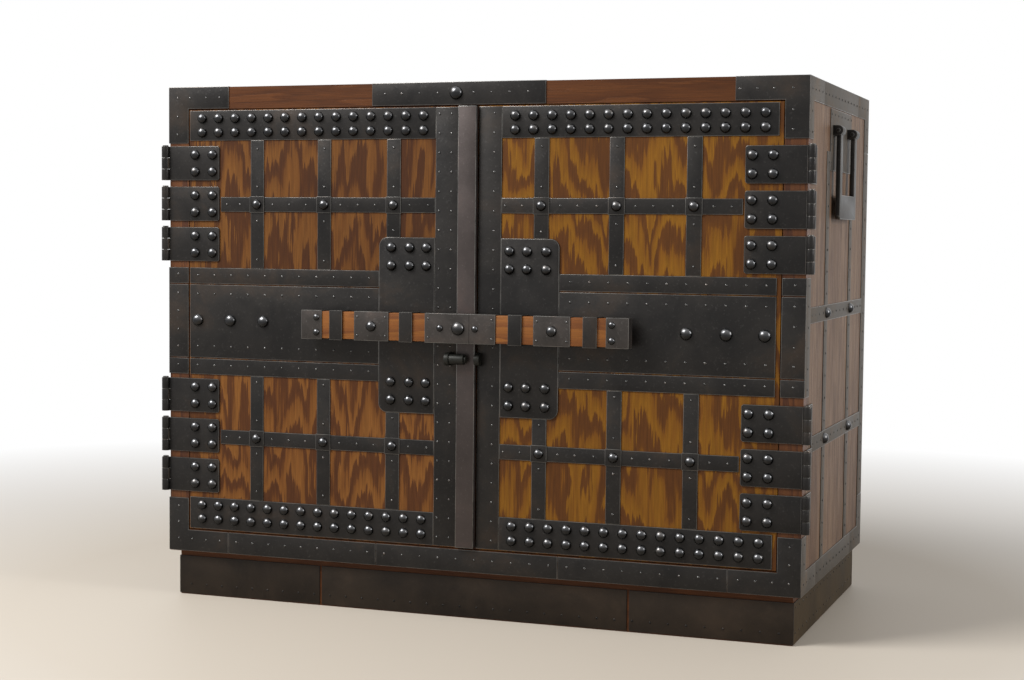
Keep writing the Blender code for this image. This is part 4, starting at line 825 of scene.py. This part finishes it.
# Lock bar in two halves, each with its wood, wraps, staples and padlock lug
bar = dict(
    length=0.588, height=0.0465, back=0.013, front=0.035, middle=doorMiddle + 0.0015, cap=0.039, plate=0.064,
    plateAt=0.162, middlePlate=0.0635, wrap=0.0018, wrapBack=0.003, staples=(0.098, 0.228),
    stapleRoots=(0.0022, 0.0012), stapleWidth=0.024, stapleThick=0.003, capStudInset=0.029, capStudRise=0.013,
    tackRise=0.016, plateTack=0.026, middleTack=0.057, centreStud=-0.003,
    seams={"left": 0.0165, "right": 0.0171}, sideStuds={"left": -0.036, "right": 0.027})
b = bar
middle, t, leg = b["middle"], b["stapleThick"], b["wrap"]
low, top = middle - b["height"] / 2, middle + b["height"] / 2
out = b["front"] + b["wrap"]
for sideName, side in sides.items():
    body = sideName + "_door"
    seam = b["seams"][sideName]  # both halves are cut on the right of the centre line
    tip = side * b["length"] / 2
    bm = bmesh.new()
    ends = sorted((seam + side * 0.0006, tip - side * b["wrap"]))
    addSlab(bm, rect(-b["front"], -b["back"], low, top), acrossX, *ends, 0.0012, "all")
    finishPiece(sideName + "BarWood", bm, body, sideName + "_bar", finishNames=("barWood",) * 2,
                slotName="bar_wood")

    bm = bmesh.new()
    outline = rect(-out, -b["back"] - b["wrapBack"], low - b["wrap"], top + b["wrap"])
    addSlab(bm, outline, acrossX, *sorted((tip - side * b["cap"], tip)), 0.001, "all")
    addSlab(bm, outline, acrossX, *spanOf(side, b["plateAt"], b["plate"]), 0.001, "all")
    atSeam = {"left": "inner", "right": "outer"}[sideName]
    addSlab(bm, outline, acrossX, *sorted((seam, side * b["middlePlate"])), 0.001, atSeam)
    finishPiece(sideName + "BarWraps", bm, body, finishNames=("barIron", "edgeWearAndSheen"))

    bm = bmesh.new()
    lowIn, topIn, faceY = low - hair, top + hair, -b["front"] - hair
    for place, root in zip(b["staples"], b["stapleRoots"]):
        outline = [(-root, lowIn - leg), (faceY - t, lowIn - leg), (faceY - t, topIn + leg),
                   (-root, topIn + leg), (-root, topIn), (faceY, topIn), (faceY, lowIn), (-root, lowIn)]
        addSlab(bm, outline, acrossX, *spanOf(side, place, b["stapleWidth"]), 0.0007, "all")
    finishPiece(sideName + "Staples", bm, body)

    small = [(tip - side * b["capStudInset"], middle + s * b["capStudRise"]) for s in (-1, 1)]
    small.append((b["sideStuds"][sideName], middle))
    setHeads(sideName + "BarSmallStuds", [onFront(x, z, out) for x, z in small], "front", smallHeads, body)
    setHeads(sideName + "BarStuds", [onFront(side * b["plateAt"], middle, out)], "front", domeHeads, body)
    tackX = (b["plateAt"] - b["plateTack"], b["plateAt"] + b["plateTack"], b["middleTack"])
    spots = [(x, middle + s * b["tackRise"]) for x in tackX for s in (-1, 1)]
    addTacks(body, "front", onFront, sided(side, spots), out)
setHeads("barCentreStud", [onFront(b["centreStud"], middle, out)], "front", largeHeads, "left_door")

lugs = dict(
    left=(-0.032, -0.024), right=(0.0176, 0.0272), depth={"left": 0.03, "right": 0.0185}, radius=0.011,
    root=0.0012, z=middle - 0.0527, barrelY=-0.019, barrel=0.009, barrelEnds=(-0.026, 0.002), core=0.0055,
    coreEnds=(0.001, 0.0055))
for sideName in sides:
    bm = bmesh.new()
    r, z = lugs["radius"], lugs["z"]
    nose = ring(-lugs["depth"][sideName] + r, z, r, 15, 90, 270)
    outline = [(-lugs["root"], z + r), *nose, (-lugs["root"], z - r)]
    addSlab(bm, outline, acrossX, *lugs[sideName], 0.0008, "ends")
    if sideName == "left":
        addBarrel(bm, acrossX, lugs["barrelY"], z, lugs["barrel"], *lugs["barrelEnds"], 0.0012)
        addBarrel(bm, acrossX, lugs["barrelY"], z, lugs["core"], *lugs["coreEnds"], 0.0006)
    finishPiece(sideName + "PadlockLug", bm, sideName + "_door", finishNames=("lockIron",) * 2)
print("lock bar made")


# Carrying handles
handle = dict(
    x=half + 0.0111, y=deep / 2, z=high - 0.075, plateLow=high - 0.1425, plateHigh=high - 0.0395,
    plateReach=0.0987, eye=0.0085, length=0.156, arm=0.018, drop=0.1485, grip=0.0405, round=0.006,
    thick=0.008, lug=0.005, lugRoot=0.0012, gap=0.0006, pin=0.0034, pinPast=0.0076, tackReach=0.093,
    tackPitch=0.031, tackDrop=0.009, tackRises=(0.014, 0.044))
h = handle
reach, armHalf, r = h["length"] / 2, h["arm"] / 2, h["round"]
arms = [h["y"] - reach + armHalf, h["y"] + reach - armHalf]
for sideName, side in sides.items():
    flank = onSide(side)
    x, root = side * h["x"], side * (half + h["lugRoot"])
    bm = bmesh.new()
    outline = rect(h["y"] - h["plateReach"], h["y"] + h["plateReach"], h["plateLow"], h["plateHigh"])
    addSlab(bm, outline, flank, seat, skin)
    turns = ring(x, h["z"], h["eye"], 17, -90 if side > 0 else 270, 90)
    for y in arms:
        for s in (-1, 1):
            ends = sorted((y + s * (armHalf + h["gap"]), y + s * (armHalf + h["gap"] + h["lug"])))
            addSlab(bm, [(root, turns[0][1]), *turns, (root, turns[-1][1])], alongY, *ends, 0.0007, "ends")
        pinHalf = armHalf + h["pinPast"]
        addBarrel(bm, alongY, x, h["z"], h["pin"], y - pinHalf, y + pinHalf, 0.0006, 16)
    finishPiece(sideName + "HandlePlate", bm, "carcase", sideName + "_handle_plate")
    rowY = spread(h["y"] - h["tackReach"], h["y"] + h["tackReach"], h["tackPitch"])
    spots = [(y, h["plateHigh"] - h["tackDrop"]) for y in rowY]
    spots += [(h["y"] + s * h["tackReach"], h["plateLow"] + z) for s in (-1, 1) for z in h["tackRises"]]
    addTacks("carcase", sideName, flank, spots, skin)

    bm = bmesh.new()
    low = h["z"] - h["drop"]
    grip, inner = low + h["grip"], reach - h["arm"]
    nearHalf = [*ring(reach - r, low + r, r, 7, -90, 0), (reach, h["z"]), (inner, h["z"]), (inner, grip)]
    outline = [(h["y"] + y, z) for y, z in nearHalf] + [(h["y"] - y, z) for y, z in reversed(nearHalf)]
    addSlab(bm, outline, acrossX, x - h["thick"] / 2, x + h["thick"] / 2, 0.0014, "all")
    for y in arms:
        addBarrel(bm, alongY, x, h["z"], h["eye"], y - armHalf, y + armHalf, 0.0009)
    finishPiece(sideName + "Bail", bm, sideName + "_handle", sideName + "_handle_bail")
print("handles made")

for number, ((body, facing), places) in enumerate(sorted(tacks.items())):
    parts = body.split("_")
    name = parts[0] + "".join(part.capitalize() for part in parts[1:]) + facing.capitalize() + "Tacks"
    # painted shade: tacks off the front, and those on the plinth, take the darker tack finish
    heads = tackHeads if facing == "front" and parts[-1] != "plinth" else shadedHeads
    setHeads(name, places, facing, dict(heads, Seed=50 + number), body.replace("_plinth", ""))
print("tacks made:", sum(len(places) for places in tacks.values()))


# Camera at the photograph's place
camera = dict(
    place=(1.1297, -2.875, 0.5785), yaw=-0.350066, pitch=0.0586628, roll=0.00984176, focalPixels=1831.63,
    photoWidth=1024, sensor=36, farthest=60)
yaw, pitch, roll = camera["yaw"], camera["pitch"], camera["roll"]
ahead = Vector((math.sin(yaw) * math.cos(pitch), math.cos(yaw) * math.cos(pitch), -math.sin(pitch)))
level = Vector((math.cos(yaw), -math.sin(yaw), 0))
above = level.cross(ahead)
rightward = math.cos(roll) * level + math.sin(roll) * above
upward = -math.sin(roll) * level + math.cos(roll) * above
lens = bpy.data.cameras.new("photoCamera")
lens.sensor_width = camera["sensor"]
lens.lens = camera["focalPixels"] * camera["sensor"] / camera["photoWidth"]
lens.clip_end = camera["farthest"]
viewer = addObject("photoCamera", lens)
turn = Matrix((rightward, upward, -ahead)).transposed().to_4x4()
viewer.matrix_world = Matrix.Translation(at(*camera["place"])) @ turn
scene.camera = viewer


# Pale floor that fades into a white backdrop, and soft studio light
def seenRays(tree):
    # 1 for rays that show the backdrop, and 0 for those that only carry its light
    path = addNode(tree, "ShaderNodeLightPath").outputs
    direct = addMath(tree, "MAXIMUM", path["Is Camera Ray"], path["Is Glossy Ray"])
    return addMath(tree, "MAXIMUM", direct, path["Is Transmission Ray"])


studio = dict(
    floor=12.0, floorColour=(0.5, 0.445, 0.375), floorRoughness=0.6, ambient=0.28, fade=(0.9, 2.6))
lamps = {
    "rightWindow": dict(place=(3.4, -0.55, 1.6), aim=(0.3, 0.1, 0.5), size=(0.8, 1.5), watts=62),
    "leftWindow": dict(place=(-1.7, -1.95, 2.8), aim=(0.0, 0.0, 0.45), size=(1.7, 1.6), watts=160)}
bm = bmesh.new()
bmesh.ops.create_grid(bm, x_segments=1, y_segments=1, size=studio["floor"])
floorMesh = bpy.data.meshes.new("floor")
bm.to_mesh(floorMesh)
bm.free()
floor = addObject("floor", floorMesh)
floorFinish, tree, shader, coord = newFinish("paleFloor")
feed(tree, shader, {"Base Color": studio["floorColour"], "Roughness": studio["floorRoughness"]})
distance = addNode(tree, "ShaderNodeVectorMath", {0: coord["Object"]}, operation="LENGTH").outputs["Value"]
white = addNode(tree, "ShaderNodeEmission").outputs[0]
fade = addMath(tree, "MULTIPLY", addRange(tree, distance, *studio["fade"], 0.0, 1.0), seenRays(tree))
blend = addNode(tree, "ShaderNodeMixShader", {0: fade, 1: shader.outputs[0], 2: white})
feed(tree, tree.nodes["Material Output"], {"Surface": blend.outputs[0]})
setOut(tree)
floorMesh.materials.append(floorFinish)
for name, lamp in lamps.items():
    light = bpy.data.lights.new(name, "AREA")
    light.shape = "RECTANGLE"
    light.size, light.size_y = lamp["size"]
    light.energy = lamp["watts"]
    holder = addObject(name, light)
    place = Vector(lamp["place"])
    holder.location = place
    holder.rotation_euler = (Vector(lamp["aim"]) - place).to_track_quat("-Z", "Y").to_euler()

world = bpy.data.worlds.new("paleStudio")
scene.world = world
world.use_nodes = True
sky = world.node_tree
strength = addRange(sky, seenRays(sky), 0.0, 1.0, studio["ambient"], 1.0)
feed(sky, sky.nodes["Background"], {"Color": (1.0, 1.0, 1.0), "Strength": strength})
setOut(sky)
scene.view_settings.view_transform = "Standard"
print("camera and light set")

bpy.context.view_layer.update()
